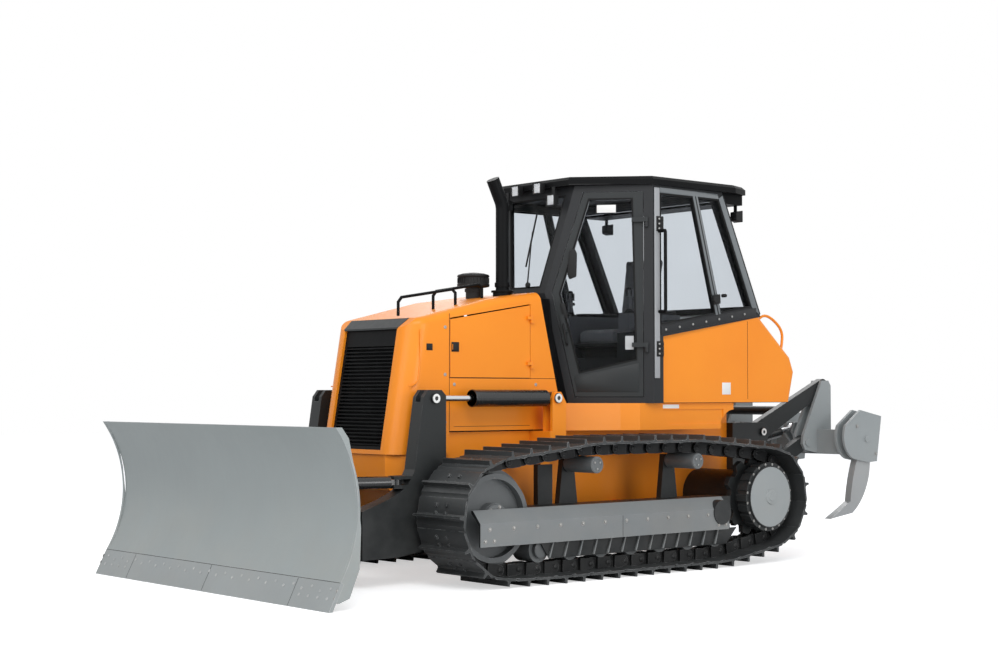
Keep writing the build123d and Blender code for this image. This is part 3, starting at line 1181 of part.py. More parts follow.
# ================================================================ blade frame
ARM_IN = ARM_X - ARM_THICK / 2
ARM_OUT = ARM_X + ARM_THICK / 2
ANGLE_EYE = 36.0             # width of the angle cylinder's eyes
ANGLE_FORK = 22.0            # thickness of a fork plate
ANGLE_PIN_R = 16.0
ANGLE_EYE_R = 36.0
FORK_GAP = ANGLE_EYE / 2 + EYE_GAP
NOSE_PLATE = 45.0
KNUCKLE_HALF = 60.0
PIVOT_PIN_R = 38.0
KNUCKLE_R = 75.0
KNUCKLE_Z = (YOKE_BASE + YOKE_TOP) / 2
TOWER_HALF = 100.0
SLOT_BASE = TOWER_Z - 140.0
with BuildPart() as c_frame:
    # side arms with the towers of the lift cylinders
    with BuildSketch(Plane.YZ.offset(ARM_IN)):
        with BuildLine():
            Polyline((TRUNNION_Y, TRUNNION_Z + 90), (TRUNNION_Y - 110, 462), (-1100, 455),
                     (-1330, 500), (-1500, 620), (TOWER_Y + TOWER_HALF, 800),
                     (TOWER_Y + TOWER_HALF, TOWER_Z + 20), (TOWER_Y + 60, TOWER_Z + 60),
                     (TOWER_Y - 60, TOWER_Z + 60), (TOWER_Y - TOWER_HALF, TOWER_Z + 10),
                     (-1855, 800), (-1910, 700), (-1985, 645), (-2100, 595), (BEAM_FRONT, 530),
                     (BEAM_FRONT, 200), (-2000, 205), (-1550, 270), (-1100, 325),
                     (TRUNNION_Y - 60, TRUNNION_Z - 68), (TRUNNION_Y, TRUNNION_Z - 90), close=True)
        make_face()
        with Locations((TRUNNION_Y, TRUNNION_Z)):
            Circle(90)
    extrude(amount=ARM_THICK)
    disc_x(TRUNNION_Y, TRUNNION_Z, TRUNNION_R + FIT, ARM_IN - 1, ARM_OUT + 1, mode=Mode.SUBTRACT)
    block((ARM_X - LIFT_EYE / 2 - EYE_GAP, ARM_X + LIFT_EYE / 2 + EYE_GAP),
          (TOWER_Y - TOWER_HALF - 5, TOWER_Y + TOWER_HALF + 5), (SLOT_BASE, TOWER_Z + 70),
          mode=Mode.SUBTRACT)
    # pin heads of the lift cylinder
    disc_x(TOWER_Y, TOWER_Z, 34, ARM_OUT, ARM_OUT + 10)
    # fork of the angle cylinder on the front of the tower
    for z_from in (ANGLE_CYL_Z - FORK_GAP - ANGLE_FORK, ANGLE_CYL_Z + FORK_GAP):
        plan_form([
            (ARM_IN, -1800), (ARM_IN, ANGLE_BASE_Y - 25), (ANGLE_BASE_X - 25, ANGLE_BASE_Y - 38),
            (ANGLE_BASE_X + 25, ANGLE_BASE_Y - 38), (ARM_OUT, ANGLE_BASE_Y), (ARM_OUT, -1800),
        ], z_from, z_from + ANGLE_FORK)
    disc_z(ANGLE_BASE_X, ANGLE_BASE_Y, ANGLE_PIN_R, ANGLE_CYL_Z - FORK_GAP - ANGLE_FORK,
           ANGLE_CYL_Z + FORK_GAP + ANGLE_FORK)
    mirror(about=Plane.YZ)
    # cross beam and the nose plates round the yoke's pivot pin
    block((-ARM_IN - 1, ARM_IN + 1), (BEAM_FRONT, BEAM_REAR), (BEAM_BASE, BEAM_TOP))
    for z_from in (KNUCKLE_Z - KNUCKLE_HALF - EYE_GAP - NOSE_PLATE,
                   KNUCKLE_Z + KNUCKLE_HALF + EYE_GAP):
        plan_form([
            (-230, BEAM_FRONT + 1), (-90, ANGLE_Y), (-60, ANGLE_Y - 60), (60, ANGLE_Y - 60),
            (90, ANGLE_Y), (230, BEAM_FRONT + 1),
        ], z_from, z_from + NOSE_PLATE)
    disc_z(0, ANGLE_Y, PIVOT_PIN_R, KNUCKLE_Z - KNUCKLE_HALF - NOSE_PLATE,
           KNUCKLE_Z + KNUCKLE_HALF + NOSE_PLATE)
c_frame.part.label = "c_frame"
export_step(c_frame.part, "parts/c_frame.step")

# ---------------------------------------------------------------- yoke
ROLL_PIN_R = 55.0
ROLL_PIN_LENGTH = 110.0
MAST_HALF = 55.0
TILT_EYE = 36.0
TILT_EYE_R = 34.0
TILT_PIN_R = 15.0
tilt_front = TILT_CYL_Y - TILT_EYE / 2 - EYE_GAP
tilt_rear = TILT_CYL_Y + TILT_EYE / 2 + EYE_GAP
EYE_DRIFT = 7.0              # each side of an open eye in a wide fork
with BuildPart() as angle_yoke:
    block((-YOKE_HALF, YOKE_HALF), (YOKE_FRONT, YOKE_REAR), (YOKE_BASE, YOKE_TOP))
    # knuckle between the nose plates of the blade frame
    plan_form([(-70, YOKE_REAR - 1), (-70, ANGLE_Y), (70, ANGLE_Y), (70, YOKE_REAR - 1)],
              KNUCKLE_Z - KNUCKLE_HALF, KNUCKLE_Z + KNUCKLE_HALF)
    disc_z(0, ANGLE_Y, KNUCKLE_R, KNUCKLE_Z - KNUCKLE_HALF, KNUCKLE_Z + KNUCKLE_HALF)
    disc_z(0, ANGLE_Y, PIVOT_PIN_R + FIT, KNUCKLE_Z - KNUCKLE_HALF, KNUCKLE_Z + KNUCKLE_HALF,
           mode=Mode.SUBTRACT)
    # roll pin that carries the blade
    disc_y(0, TILT_Z, ROLL_PIN_R, YOKE_FRONT - ROLL_PIN_LENGTH, YOKE_FRONT + 1)
    # open forks for the rod eyes of the angle cylinders
    for side in (-1, 1):
        block((side * (ANGLE_EYE_X - 50), side * (ANGLE_EYE_X + 50)),
              (YOKE_FRONT, YOKE_FRONT + 20), (YOKE_TOP - 1, ANGLE_CYL_Z + 46))
        for z_from in (ANGLE_CYL_Z - ANGLE_EYE / 2 - EYE_DRIFT - 18,
                       ANGLE_CYL_Z + ANGLE_EYE / 2 + EYE_DRIFT):
            block((side * (ANGLE_EYE_X - 50), side * (ANGLE_EYE_X + 50)),
                  (YOKE_FRONT, ANGLE_EYE_Y + 45), (z_from, z_from + 18))
    # mast with the fork of the tilt cylinder
    block((TILT_BASE_X - MAST_HALF, TILT_BASE_X + MAST_HALF), (YOKE_FRONT, YOKE_REAR),
          (YOKE_TOP - 1, TILT_CYL_Z - 60))
    for y_from, y_to in ((YOKE_FRONT, tilt_front), (tilt_rear, YOKE_REAR)):
        front_form([
            (TILT_BASE_X - MAST_HALF, TILT_CYL_Z - 61), (TILT_BASE_X + MAST_HALF, TILT_CYL_Z - 61),
            (TILT_BASE_X + 20, TILT_CYL_Z + 38), (TILT_BASE_X - 30, TILT_CYL_Z + 38),
        ], y_from, y_to)
    disc_y(TILT_BASE_X, TILT_CYL_Z, TILT_PIN_R, YOKE_FRONT, YOKE_REAR)
angle_yoke.part.label = "angle_yoke"
export_step(angle_yoke.part, "parts/angle_yoke.step")

# ================================================================ blade
BLADE_HALF = BLADE_WIDTH / 2
BLADE_EDGE_Y = BLADE_FRONT + EDGE_RUN
BLADE_TOP_Y = BLADE_FRONT + TOP_RUN
BLADE_DEEP_Y = BLADE_FRONT + HOLLOW_RUN
edge_len = hypot(BLADE_EDGE_Y - BLADE_FRONT, BLADE_EDGE_TOP)
edge_run = ((BLADE_EDGE_Y - BLADE_FRONT) / edge_len, BLADE_EDGE_TOP / edge_len)
edge_back = (edge_run[1], -edge_run[0])       # square to the edge, to the rear
edge_top = (BLADE_EDGE_Y, BLADE_EDGE_TOP)
seat_top = (edge_top[0] + edge_back[0] * EDGE_PLATE, edge_top[1] + edge_back[1] * EDGE_PLATE)
SEAT_LENGTH = 120.0
DEEP_Z = BLADE_HEIGHT - HOLLOW_DROP
seat_foot = (seat_top[0] - edge_run[0] * SEAT_LENGTH, seat_top[1] - edge_run[1] * SEAT_LENGTH)
skin_foot = (seat_foot[0] + edge_back[0] * BLADE_PLATE, seat_foot[1] + edge_back[1] * BLADE_PLATE)


def arc_centre(a, b, c):
    """Centre (y, z) and radius of the circle through three (y, z) points."""
    (ay, az), (by, bz), (cy, cz) = a, b, c
    scale = 2 * (ay * (bz - cz) + by * (cz - az) + cy * (az - bz))
    a_sq, b_sq, c_sq = ay**2 + az**2, by**2 + bz**2, cy**2 + cz**2
    y = (a_sq * (bz - cz) + b_sq * (cz - az) + c_sq * (az - bz)) / scale
    z = (a_sq * (cy - by) + b_sq * (ay - cy) + c_sq * (by - ay)) / scale
    return y, z, hypot(ay - y, az - z)


hollow = arc_centre(edge_top, (BLADE_DEEP_Y, DEEP_Z), (BLADE_TOP_Y, BLADE_HEIGHT))


def skin_y(z):
    """Station inside the moldboard skin, half its thickness behind the face."""
    return hollow[0] + sqrt(hollow[2] ** 2 - (z - hollow[1]) ** 2) + BLADE_PLATE / 2


RIB_X = (-1180.0, -840.0, -340.0, -180.0, 180.0, 340.0, 840.0, 1180.0)
RIB_THICK = 22.0
RIB_BASE = 190.0
rib_top = BLADE_HEIGHT - 38
SOCKET_HALF = 110.0
TILT_LUG_HALF = 42.0
with BuildPart() as moldboard:
    with BuildSketch(Plane.YZ.offset(-BLADE_HALF + END_PLATE)):
        with BuildLine():
            ThreePointArc(edge_top, (BLADE_DEEP_Y, DEEP_Z), (BLADE_TOP_Y, BLADE_HEIGHT))
            Line((BLADE_TOP_Y, BLADE_HEIGHT), (BLADE_TOP_Y + BLADE_PLATE + 4, BLADE_HEIGHT))
            ThreePointArc((BLADE_TOP_Y + BLADE_PLATE + 4, BLADE_HEIGHT),
                          (BLADE_DEEP_Y + BLADE_PLATE, DEEP_Z),
                          (BLADE_EDGE_Y + BLADE_PLATE + 26, BLADE_EDGE_TOP))
            Polyline((BLADE_EDGE_Y + BLADE_PLATE + 26, BLADE_EDGE_TOP), skin_foot, seat_foot,
                     seat_top, edge_top)
        make_face()
    extrude(amount=2 * (BLADE_HALF - END_PLATE))
    # end plates, stood a little ahead of the hollow
    for side in (-1, 1):
        inner = side * BLADE_HALF - (END_PLATE if side > 0 else 0)
        with BuildSketch(Plane.YZ.offset(inner)) as end:
            with BuildLine():
                ThreePointArc(edge_top, (BLADE_DEEP_Y - 12, DEEP_Z), (BLADE_TOP_Y, BLADE_HEIGHT))
                Polyline((BLADE_TOP_Y, BLADE_HEIGHT), (BLADE_TOP_Y + 44, BLADE_HEIGHT),
                         (BLADE_TOP_Y + 97, BLADE_HEIGHT - 68), (BLADE_DEEP_Y - 23, DEEP_Z + 140),
                         (BLADE_DEEP_Y + 10, DEEP_Z - 140), (BLADE_DEEP_Y + 2, BLADE_EDGE_TOP + 74),
                         (BLADE_FRONT + 155, BLADE_EDGE_TOP - 101), skin_foot,
                         seat_foot, seat_top, edge_top)
            make_face()
        extrude(end.sketch, amount=END_PLATE)
    # box stiffeners and ribs behind the skin
    for corners in (
        [(skin_y(BLADE_HEIGHT - 188), BLADE_HEIGHT - 188), (BLADE_BACK - 85, BLADE_HEIGHT - 188),
         (BLADE_BACK - 65, BLADE_HEIGHT - 78), (skin_y(BLADE_HEIGHT - 43), BLADE_HEIGHT - 43)],
        [(skin_y(200), 200), (BLADE_BACK - 75, 165), (BLADE_BACK - 35, 300), (skin_y(330), 330)],
    ):
        side_form(corners, RIB_X[0], RIB_X[-1])
    for x in RIB_X:
        with BuildSketch(Plane.YZ.offset(x - RIB_THICK / 2)) as rib:
            with BuildLine():
                ThreePointArc((skin_y(rib_top), rib_top), (skin_y(DEEP_Z), DEEP_Z),
                              (skin_y(RIB_BASE), RIB_BASE))
                Polyline((skin_y(RIB_BASE), RIB_BASE), (BLADE_BACK - 75, RIB_BASE - 30),
                         (BLADE_BACK, RIB_BASE + 100), (BLADE_BACK, rib_top - 280),
                         (BLADE_BACK - 65, rib_top - 80), (skin_y(rib_top), rib_top))
            make_face()
        extrude(rib.sketch, amount=RIB_THICK)
    # socket of the roll pin and the lug of the tilt cylinder
    block((-SOCKET_HALF, SOCKET_HALF), (BLADE_DEEP_Y + 7, YOKE_FRONT - MOVE_GAP),
          (TILT_Z - 110, TILT_Z + 110))
    disc_y(0, TILT_Z, ROLL_PIN_R + FIT, YOKE_FRONT - ROLL_PIN_LENGTH - 8, YOKE_FRONT,
           mode=Mode.SUBTRACT)
    side_form([(skin_y(TILT_CYL_Z - 60), TILT_CYL_Z - 60), (YOKE_FRONT - 24, TILT_CYL_Z - 60),
               (YOKE_FRONT - 24, TILT_CYL_Z + 60), (skin_y(TILT_CYL_Z + 60), TILT_CYL_Z + 60)],
              TILT_EYE_X - TILT_LUG_HALF, TILT_EYE_X + 110)
    for y_from, y_to in ((YOKE_FRONT - 26, TILT_CYL_Y - TILT_EYE / 2 - EYE_GAP - 8),
                         (TILT_CYL_Y + TILT_EYE / 2 + EYE_GAP + 8, TILT_CYL_Y + TILT_EYE / 2 + 32)):
        front_form([
            (TILT_EYE_X - TILT_LUG_HALF, TILT_CYL_Z - 55), (TILT_EYE_X + 110, TILT_CYL_Z - 55),
            (TILT_EYE_X + 110, TILT_CYL_Z + 55), (TILT_EYE_X - TILT_LUG_HALF, TILT_CYL_Z + 55),
        ], y_from, y_to)
    block((TILT_EYE_X + 92, TILT_EYE_X + 110), (YOKE_FRONT - 26, TILT_CYL_Y + TILT_EYE / 2 + 32),
          (TILT_CYL_Z - 55, TILT_CYL_Z + 55))
moldboard.part.label = "moldboard"
export_step(moldboard.part, "parts/moldboard.step")

with BuildPart() as cutting_edge:
    side_form([
        (BLADE_FRONT, 0.0), edge_top, seat_top,
        (seat_top[0] - edge_run[0] * seat_top[1] / edge_run[1], 0.0),
    ], -BLADE_HALF, BLADE_HALF)
cutting_edge.part.label = "cutting_edge"
export_step(cutting_edge.part, "parts/cutting_edge.step")


# ================================================================ hydraulic cylinders
def barrel(base, tip, eye_axis, eye_r, eye_width, pin_r, barrel_r, rod_r, start, length):
    """Cylinder barrel with its base eye, bored through for the rod."""
    way = (Vector(*tip) - Vector(*base)).normalized()
    eye_from = Vector(*base) - eye_axis * (eye_width / 2)
    eye_to = Vector(*base) + eye_axis * (eye_width / 2)
    bar(tuple(eye_from), tuple(eye_to), eye_r)
    with BuildSketch(Plane(origin=base, x_dir=eye_axis, z_dir=way)) as lug:
        Rectangle(eye_width, eye_r * 1.5)
    extrude(lug.sketch, amount=start + 1)
    bar(tuple(eye_from - eye_axis), tuple(eye_to + eye_axis), pin_r + FIT, mode=Mode.SUBTRACT)
    bar(along(base, tip, start), along(base, tip, start + length), barrel_r)
    bar(along(base, tip, start + 30), along(base, tip, start + length + 1), rod_r + FIT,
        mode=Mode.SUBTRACT)


def rod(base, tip, eye_axis, eye_r, eye_width, rod_r, length):
    """Piston rod with its eye; the eye's pin ends flush with its faces."""
    eye_from = Vector(*tip) - eye_axis * (eye_width / 2)
    eye_to = Vector(*tip) + eye_axis * (eye_width / 2)
    bar(tuple(eye_from), tuple(eye_to), eye_r)
    bar(tip, along(tip, base, length), rod_r)


AXIS_X = Vector(1, 0, 0)
AXIS_Y = Vector(0, 1, 0)
AXIS_Z = Vector(0, 0, 1)

LIFT_START = 78.0
LIFT_BARREL = 700.0
LIFT_ROD = 640.0
lift_base = (ARM_X, LIFT_BASE_Y, LIFT_BASE_Z)
lift_tip = (ARM_X, TOWER_Y, TOWER_Z)
with BuildPart() as lift_barrels:
    barrel(lift_base, lift_tip, AXIS_X, LIFT_EYE_R, LIFT_EYE, LIFT_PIN_R, LIFT_BARREL_R, LIFT_ROD_R,
           LIFT_START, LIFT_BARREL)
    mirror(about=Plane.YZ)
lift_barrels.part.label = "lift_barrels"
export_step(lift_barrels.part, "parts/lift_barrels.step")

with BuildPart() as lift_rods:
    rod(lift_base, lift_tip, AXIS_X, LIFT_EYE_R, LIFT_EYE, LIFT_ROD_R, LIFT_ROD)
    mirror(about=Plane.YZ)
lift_rods.part.label = "lift_rods"
export_step(lift_rods.part, "parts/lift_rods.step")

ANGLE_START = 52.0
ANGLE_BARREL = 400.0
ANGLE_ROD = 430.0
angle_base = (ANGLE_BASE_X, ANGLE_BASE_Y, ANGLE_CYL_Z)
angle_tip = (ANGLE_EYE_X, ANGLE_EYE_Y, ANGLE_CYL_Z)
with BuildPart() as angle_barrel_left:
    barrel(angle_base, angle_tip, AXIS_Z, ANGLE_EYE_R, ANGLE_EYE, ANGLE_PIN_R, ANGLE_BARREL_R,
           ANGLE_ROD_R, ANGLE_START, ANGLE_BARREL)
angle_barrel_left.part.label = "angle_barrel_left"
export_step(angle_barrel_left.part, "parts/angle_barrel_left.step")

with BuildPart() as angle_barrel_right:
    mirror(angle_barrel_left.part, about=Plane.YZ)
angle_barrel_right.part.label = "angle_barrel_right"
export_step(angle_barrel_right.part, "parts/angle_barrel_right.step")

with BuildPart() as angle_rod_left:
    rod(angle_base, angle_tip, AXIS_Z, ANGLE_EYE_R - 4, ANGLE_EYE, ANGLE_ROD_R, ANGLE_ROD)
angle_rod_left.part.label = "angle_rod_left"
export_step(angle_rod_left.part, "parts/angle_rod_left.step")

with BuildPart() as angle_rod_right:
    mirror(angle_rod_left.part, about=Plane.YZ)
angle_rod_right.part.label = "angle_rod_right"
export_step(angle_rod_right.part, "parts/angle_rod_right.step")

TILT_START = 58.0
TILT_BARREL = 320.0
TILT_ROD = 360.0
tilt_base = (TILT_BASE_X, TILT_CYL_Y, TILT_CYL_Z)
tilt_tip = (TILT_EYE_X, TILT_CYL_Y, TILT_CYL_Z)
with BuildPart() as tilt_barrel:
    barrel(tilt_base, tilt_tip, AXIS_Y, TILT_EYE_R, TILT_EYE, TILT_PIN_R, TILT_BARREL_R, TILT_ROD_R,
           TILT_START, TILT_BARREL)
tilt_barrel.part.label = "tilt_barrel"
export_step(tilt_barrel.part, "parts/tilt_barrel.step")

with BuildPart() as tilt_rod:
    rod(tilt_base, tilt_tip, AXIS_Y, TILT_EYE_R, TILT_EYE, TILT_ROD_R, TILT_ROD)
tilt_rod.part.label = "tilt_rod"
export_step(tilt_rod.part, "parts/tilt_rod.step")

# ================================================================ ripper
LINK_EYE_R = 60.0
UPPER_TAPER = 88.0
lower_pin = (RIP_LOWER_Y, RIP_LOWER_Z)
lower_far = (RIP_LOWER_Y + RIP_REACH, RIP_LOWER_Z + RIP_RISE)
upper_pin = (RIP_UPPER_Y, RIP_UPPER_Z)
upper_far = (RIP_UPPER_Y + RIP_REACH, RIP_UPPER_Z + RIP_RISE)
link_len = hypot(RIP_REACH, RIP_RISE)
link_run = (RIP_REACH / link_len, RIP_RISE / link_len)
link_up = (-link_run[1], link_run[0])


def link_pair(near, far, near_half, far_half):
    """Two side links from pin to pin, joined by a cross tube."""
    for side in (-1, 1):
        x_in, x_out = side * (LINK_X - LINK_THICK / 2), side * (LINK_X + LINK_THICK / 2)
        side_form([
            (near[0] + link_up[0] * near_half, near[1] + link_up[1] * near_half),
            (far[0] + link_up[0] * far_half, far[1] + link_up[1] * far_half),
            (far[0] - link_up[0] * far_half, far[1] - link_up[1] * far_half),
            (near[0] - link_up[0] * near_half, near[1] - link_up[1] * near_half),
        ], x_in, x_out)
        disc_x(near[0], near[1], near_half, x_in, x_out)
        disc_x(far[0], far[1], far_half, x_in, x_out)
        for pin in (near, far):
            disc_x(pin[0], pin[1], RIP_PIN_R + FIT, x_in, x_out, mode=Mode.SUBTRACT)
    middle = (near[0] + RIP_REACH * 0.45, near[1] + RIP_RISE * 0.45)
    disc_x(middle[0], middle[1], 38, -LINK_X, LINK_X)


with BuildPart() as ripper_upper_link:
    link_pair(upper_pin, upper_far, UPPER_TAPER, LINK_EYE_R)
ripper_upper_link.part.label = "ripper_upper_link"
export_step(ripper_upper_link.part, "parts/ripper_upper_link.step")

with BuildPart() as ripper_lower_link:
    link_pair(lower_pin, lower_far, LINK_EYE_R, LINK_EYE_R)
ripper_lower_link.part.label = "ripper_lower_link"
export_step(ripper_lower_link.part, "parts/ripper_lower_link.step")

SHANK_GAP = 0.3
bar_y, bar_z = TOOLBAR_FRONT, TOOLBAR_BASE    # front lower edge of the toolbar
SHANK_PIN = (bar_y + 235, bar_z + 130)
PIN_HEAD = 14.0
with BuildPart() as ripper_beam:
    # transverse toolbar
    block((-TOOLBAR_HALF + 80, TOOLBAR_HALF - 80), (TOOLBAR_FRONT, TOOLBAR_FRONT + TOOLBAR_DEPTH),
          (TOOLBAR_BASE, TOOLBAR_TOP))
    # cheeks from the link pins to the toolbar
    for side in (-1, 1):
        for x_from, x_to in ((link_in - MOUNT_PLATE, link_in), (link_out, link_out + MOUNT_PLATE)):
            side_form([
                (upper_far[0] - 50, upper_far[1] + 45), (upper_far[0] + 40, upper_far[1] + 45),
                (upper_far[0] + 72, upper_far[1]), (upper_far[0] + 72, TOOLBAR_TOP),
                (TOOLBAR_FRONT + TOOLBAR_DEPTH, TOOLBAR_BASE + 10),
                (TOOLBAR_FRONT + 60, TOOLBAR_BASE),
                (lower_far[0] - 30, lower_far[1] - 62), (lower_far[0] - 62, lower_far[1] - 10),
                (lower_far[0] - 50, lower_far[1] + 60),
            ], side * x_from, side * x_to)
        disc_x(lower_far[0], lower_far[1], RIP_PIN_R, side * (link_in - MOUNT_PLATE),
               side * (link_out + MOUNT_PLATE + 12))
        # open fork of the lift cylinder's rod eye
        for x_from, x_to in ((cyl_in - MOUNT_PLATE, cyl_in), (cyl_out, cyl_out + MOUNT_PLATE)):
            side_form([
                (TOOLBAR_FRONT + 10, TOOLBAR_BASE + 40), (TOOLBAR_FRONT + 10, TOOLBAR_TOP),
                (RIP_EYE_Y + 40, RIP_EYE_Z + 55), (RIP_EYE_Y - 40, RIP_EYE_Z + 50),
                (RIP_EYE_Y - 60, RIP_EYE_Z - 30), (RIP_EYE_Y - 20, RIP_EYE_Z - 80),
            ], side * x_from, side * x_to)
    # pockets of the three shanks
    for x in SHANK_X:
        half = SHANK_THICK / 2 + SHANK_GAP
        for x_from, x_to in ((x - half - POCKET_PLATE, x - half),
                             (x + half, x + half + POCKET_PLATE)):
            with BuildSketch(Plane.YZ.offset(x_from)) as pocket:
                with BuildLine():
                    Polyline((bar_y - 40, TOOLBAR_TOP + 40), (bar_y + 160, TOOLBAR_TOP + 170),
                             (POCKET_REAR, TOOLBAR_TOP + 115), (POCKET_REAR - 65, bar_z - 65),
                             (bar_y + 270, bar_z - 72), (bar_y + 80, bar_z - 40), close=False)
                    ThreePointArc((bar_y + 80, bar_z - 40), (bar_y - 50, bar_z + 80),
                                  (bar_y - 40, TOOLBAR_TOP + 40))
                make_face()
            extrude(pocket.sketch, amount=POCKET_PLATE)
        # rear wall between the pocket plates, and the ends of the shank's pin
        block((x - half, x + half), (POCKET_REAR - 110, POCKET_REAR - 80),
              (TOOLBAR_BASE, TOOLBAR_TOP + 90))
        for face, end in ((x - half - POCKET_PLATE, -PIN_HEAD), (x + half + POCKET_PLATE, PIN_HEAD)):
            disc_x(SHANK_PIN[0], SHANK_PIN[1], 24, face, face + end)
ripper_beam.part.label = "ripper_beam"
export_step(ripper_beam.part, "parts/ripper_beam.step")

with BuildPart() as ripper_shanks:
    for x in SHANK_X:
        with BuildSketch(Plane.YZ.offset(x - SHANK_THICK / 2)) as shank:
            with BuildLine():
                head, neck = TOOLBAR_TOP + 80, bar_z - 40
                Polyline((bar_y + 145, head), (bar_y + 338, head), (bar_y + 315, neck))
                ThreePointArc((bar_y + 315, neck), (bar_y + 245, neck - 280), (bar_y + 70, neck - 460))
                Polyline((bar_y + 70, neck - 460), (bar_y - 230, neck - 498),
                         (bar_y - 90, neck - 430), (bar_y + 45, neck - 360))
                ThreePointArc((bar_y + 45, neck - 360), (bar_y + 78, neck - 180), (bar_y + 140, neck))
                Line((bar_y + 140, neck), (bar_y + 145, head))
            make_face()
        extrude(shank.sketch, amount=SHANK_THICK)
ripper_shanks.part.label = "ripper_shanks"
export_step(ripper_shanks.part, "parts/ripper_shanks.step")

RIP_START = 75.0
RIP_BARREL = 490.0
RIP_ROD = 560.0
rip_base = (RIP_CYL_X, RIP_BASE_Y, RIP_BASE_Z)
rip_tip = (RIP_CYL_X, RIP_EYE_Y, RIP_EYE_Z)
with BuildPart() as ripper_barrels:
    barrel(rip_base, rip_tip, AXIS_X, 52, CYL_EYE, RIP_PIN_R, RIP_BARREL_R, RIP_ROD_R,
           RIP_START, RIP_BARREL)
    mirror(about=Plane.YZ)
ripper_barrels.part.label = "ripper_barrels"
export_step(ripper_barrels.part, "parts/ripper_barrels.step")

with BuildPart() as ripper_rods:
    rod(rip_base, rip_tip, AXIS_X, 44, CYL_EYE, RIP_ROD_R, RIP_ROD)
    mirror(about=Plane.YZ)
ripper_rods.part.label = "ripper_rods"
export_step(ripper_rods.part, "parts/ripper_rods.step")
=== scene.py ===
import bmesh
import bpy
from math import atan2, cos, hypot, pi, radians, sin, sqrt
from mathutils import Matrix, Vector


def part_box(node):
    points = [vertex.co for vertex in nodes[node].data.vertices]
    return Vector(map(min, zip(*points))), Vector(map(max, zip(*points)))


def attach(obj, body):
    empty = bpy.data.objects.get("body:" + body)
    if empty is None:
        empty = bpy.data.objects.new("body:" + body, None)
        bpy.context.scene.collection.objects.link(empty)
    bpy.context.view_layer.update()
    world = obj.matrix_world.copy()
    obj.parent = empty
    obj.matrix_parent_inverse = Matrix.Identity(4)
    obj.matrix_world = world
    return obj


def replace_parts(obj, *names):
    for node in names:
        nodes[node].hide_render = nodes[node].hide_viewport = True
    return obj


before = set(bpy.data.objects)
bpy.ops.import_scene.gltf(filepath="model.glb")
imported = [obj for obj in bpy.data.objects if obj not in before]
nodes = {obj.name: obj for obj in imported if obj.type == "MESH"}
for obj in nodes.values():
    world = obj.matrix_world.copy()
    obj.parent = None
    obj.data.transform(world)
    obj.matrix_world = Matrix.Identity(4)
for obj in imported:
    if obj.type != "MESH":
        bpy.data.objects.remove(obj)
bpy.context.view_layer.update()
bpy.ops.object.select_all(action="DESELECT")

# Metres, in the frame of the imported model: front -y, left side +x, ground z = 0.
# Sides are outlines of (y, z) corners, plans (x, y), fronts (x, z).
SIDE = Matrix(((0, 0, 1, 0), (1, 0, 0, 0), (0, 1, 0, 0), (0, 0, 0, 1)))     # thickness along x
FRONT = Matrix(((1, 0, 0, 0), (0, 0, -1, 0), (0, 1, 0, 0), (0, 0, 0, 1)))   # thickness along -y
PLAN = Matrix.Identity(4)
MIRROR = Matrix.Scale(-1, 4, (1, 0, 0))

# ---------------------------------------------------------------- sizes of the machine
SPROCKET = (1.27, 0.513)
IDLER = (-1.47, 0.468)
ROLLER_R = 0.092
ROLLER_ROW = (-1.07, 0.75)   # first and last of the bottom rollers
CARRIERS = ((-0.615, 0.815), (0.435, 0.815))
CHAIN_BASE = 0.141
SHOE_COUNT = 43
PIN_LEVEL = 0.042            # chain pins over the running face of the links
SHOE_LEVEL = 0.085
SHOE_PLATE = 0.016
GROUSER = 0.04
SHOE_HALF = 0.255
TRACK_X = 0.99
HOOD_FRONT = -1.89
NOSE_FOOT = 0.895            # where the leaning nose starts, at HOOD_FRONT
DOOR_CORNER = (0.88, 0.285)  # hinge pillar of the cab
DOOR_SLOPE = 1.2
CAB_TOP = 2.925
KNEE_Y, KNEE_Z = -0.25, 2.1  # foot of the windscreen
PANE_RUN = 0.15              # how far the windscreen leans back up to the roof
DOOR_TOP = CAB_TOP - 0.055
PANE_TOP = DOOR_TOP - 0.058
PANE = [(0.135, 1.59), (0.562, 1.492), (0.712, 2.095), (0.488, PANE_TOP), (0.165, PANE_TOP)]
SIDE_PANES = (
    [(0.365, 1.85), (1.01, 1.952), (0.74, 2.865), (0.365, 2.865)],
    [(1.06, 1.96), (1.445, 2.021), (1.045, 2.865), (0.79, 2.865)],
)
BLADE_HALF = 1.495
BLADE_FOOT = (-3.14, 0.0)
BLADE_EDGE = (-3.052, 0.176)


# ---------------------------------------------------------------- modelling by hand
def alone(piece):
    """Selects one object and nothing else."""
    bpy.ops.object.select_all(action="DESELECT")
    piece.select_set(True)
    bpy.context.view_layer.objects.active = piece


def edit(piece):
    alone(piece)
    bpy.ops.object.mode_set(mode="EDIT")
    bpy.ops.mesh.select_all(action="SELECT")


def leave(piece):
    """Faces out, back to object mode."""
    bpy.ops.mesh.select_all(action="SELECT")
    bpy.ops.mesh.normals_make_consistent(inside=False)
    bpy.ops.object.mode_set(mode="OBJECT")
    return piece


def pick(piece, test, kind="faces"):
    """Selects the faces, edges or corners that pass a test on their place or normal."""
    bpy.ops.mesh.select_all(action="DESELECT")
    bpy.ops.mesh.select_mode(type={"faces": "FACE", "edges": "EDGE", "verts": "VERT"}[kind])
    mesh = bmesh.from_edit_mesh(piece.data)
    for item in getattr(mesh, kind):
        if test(item):
            item.select_set(True)
    bmesh.update_edit_mesh(piece.data)


def settle(piece, place):
    """Puts a piece built on its own plane into the machine's frame, its place in its mesh."""
    piece.matrix_world = place
    alone(piece)
    bpy.ops.object.transform_apply(location=True, rotation=True, scale=True)
    return piece


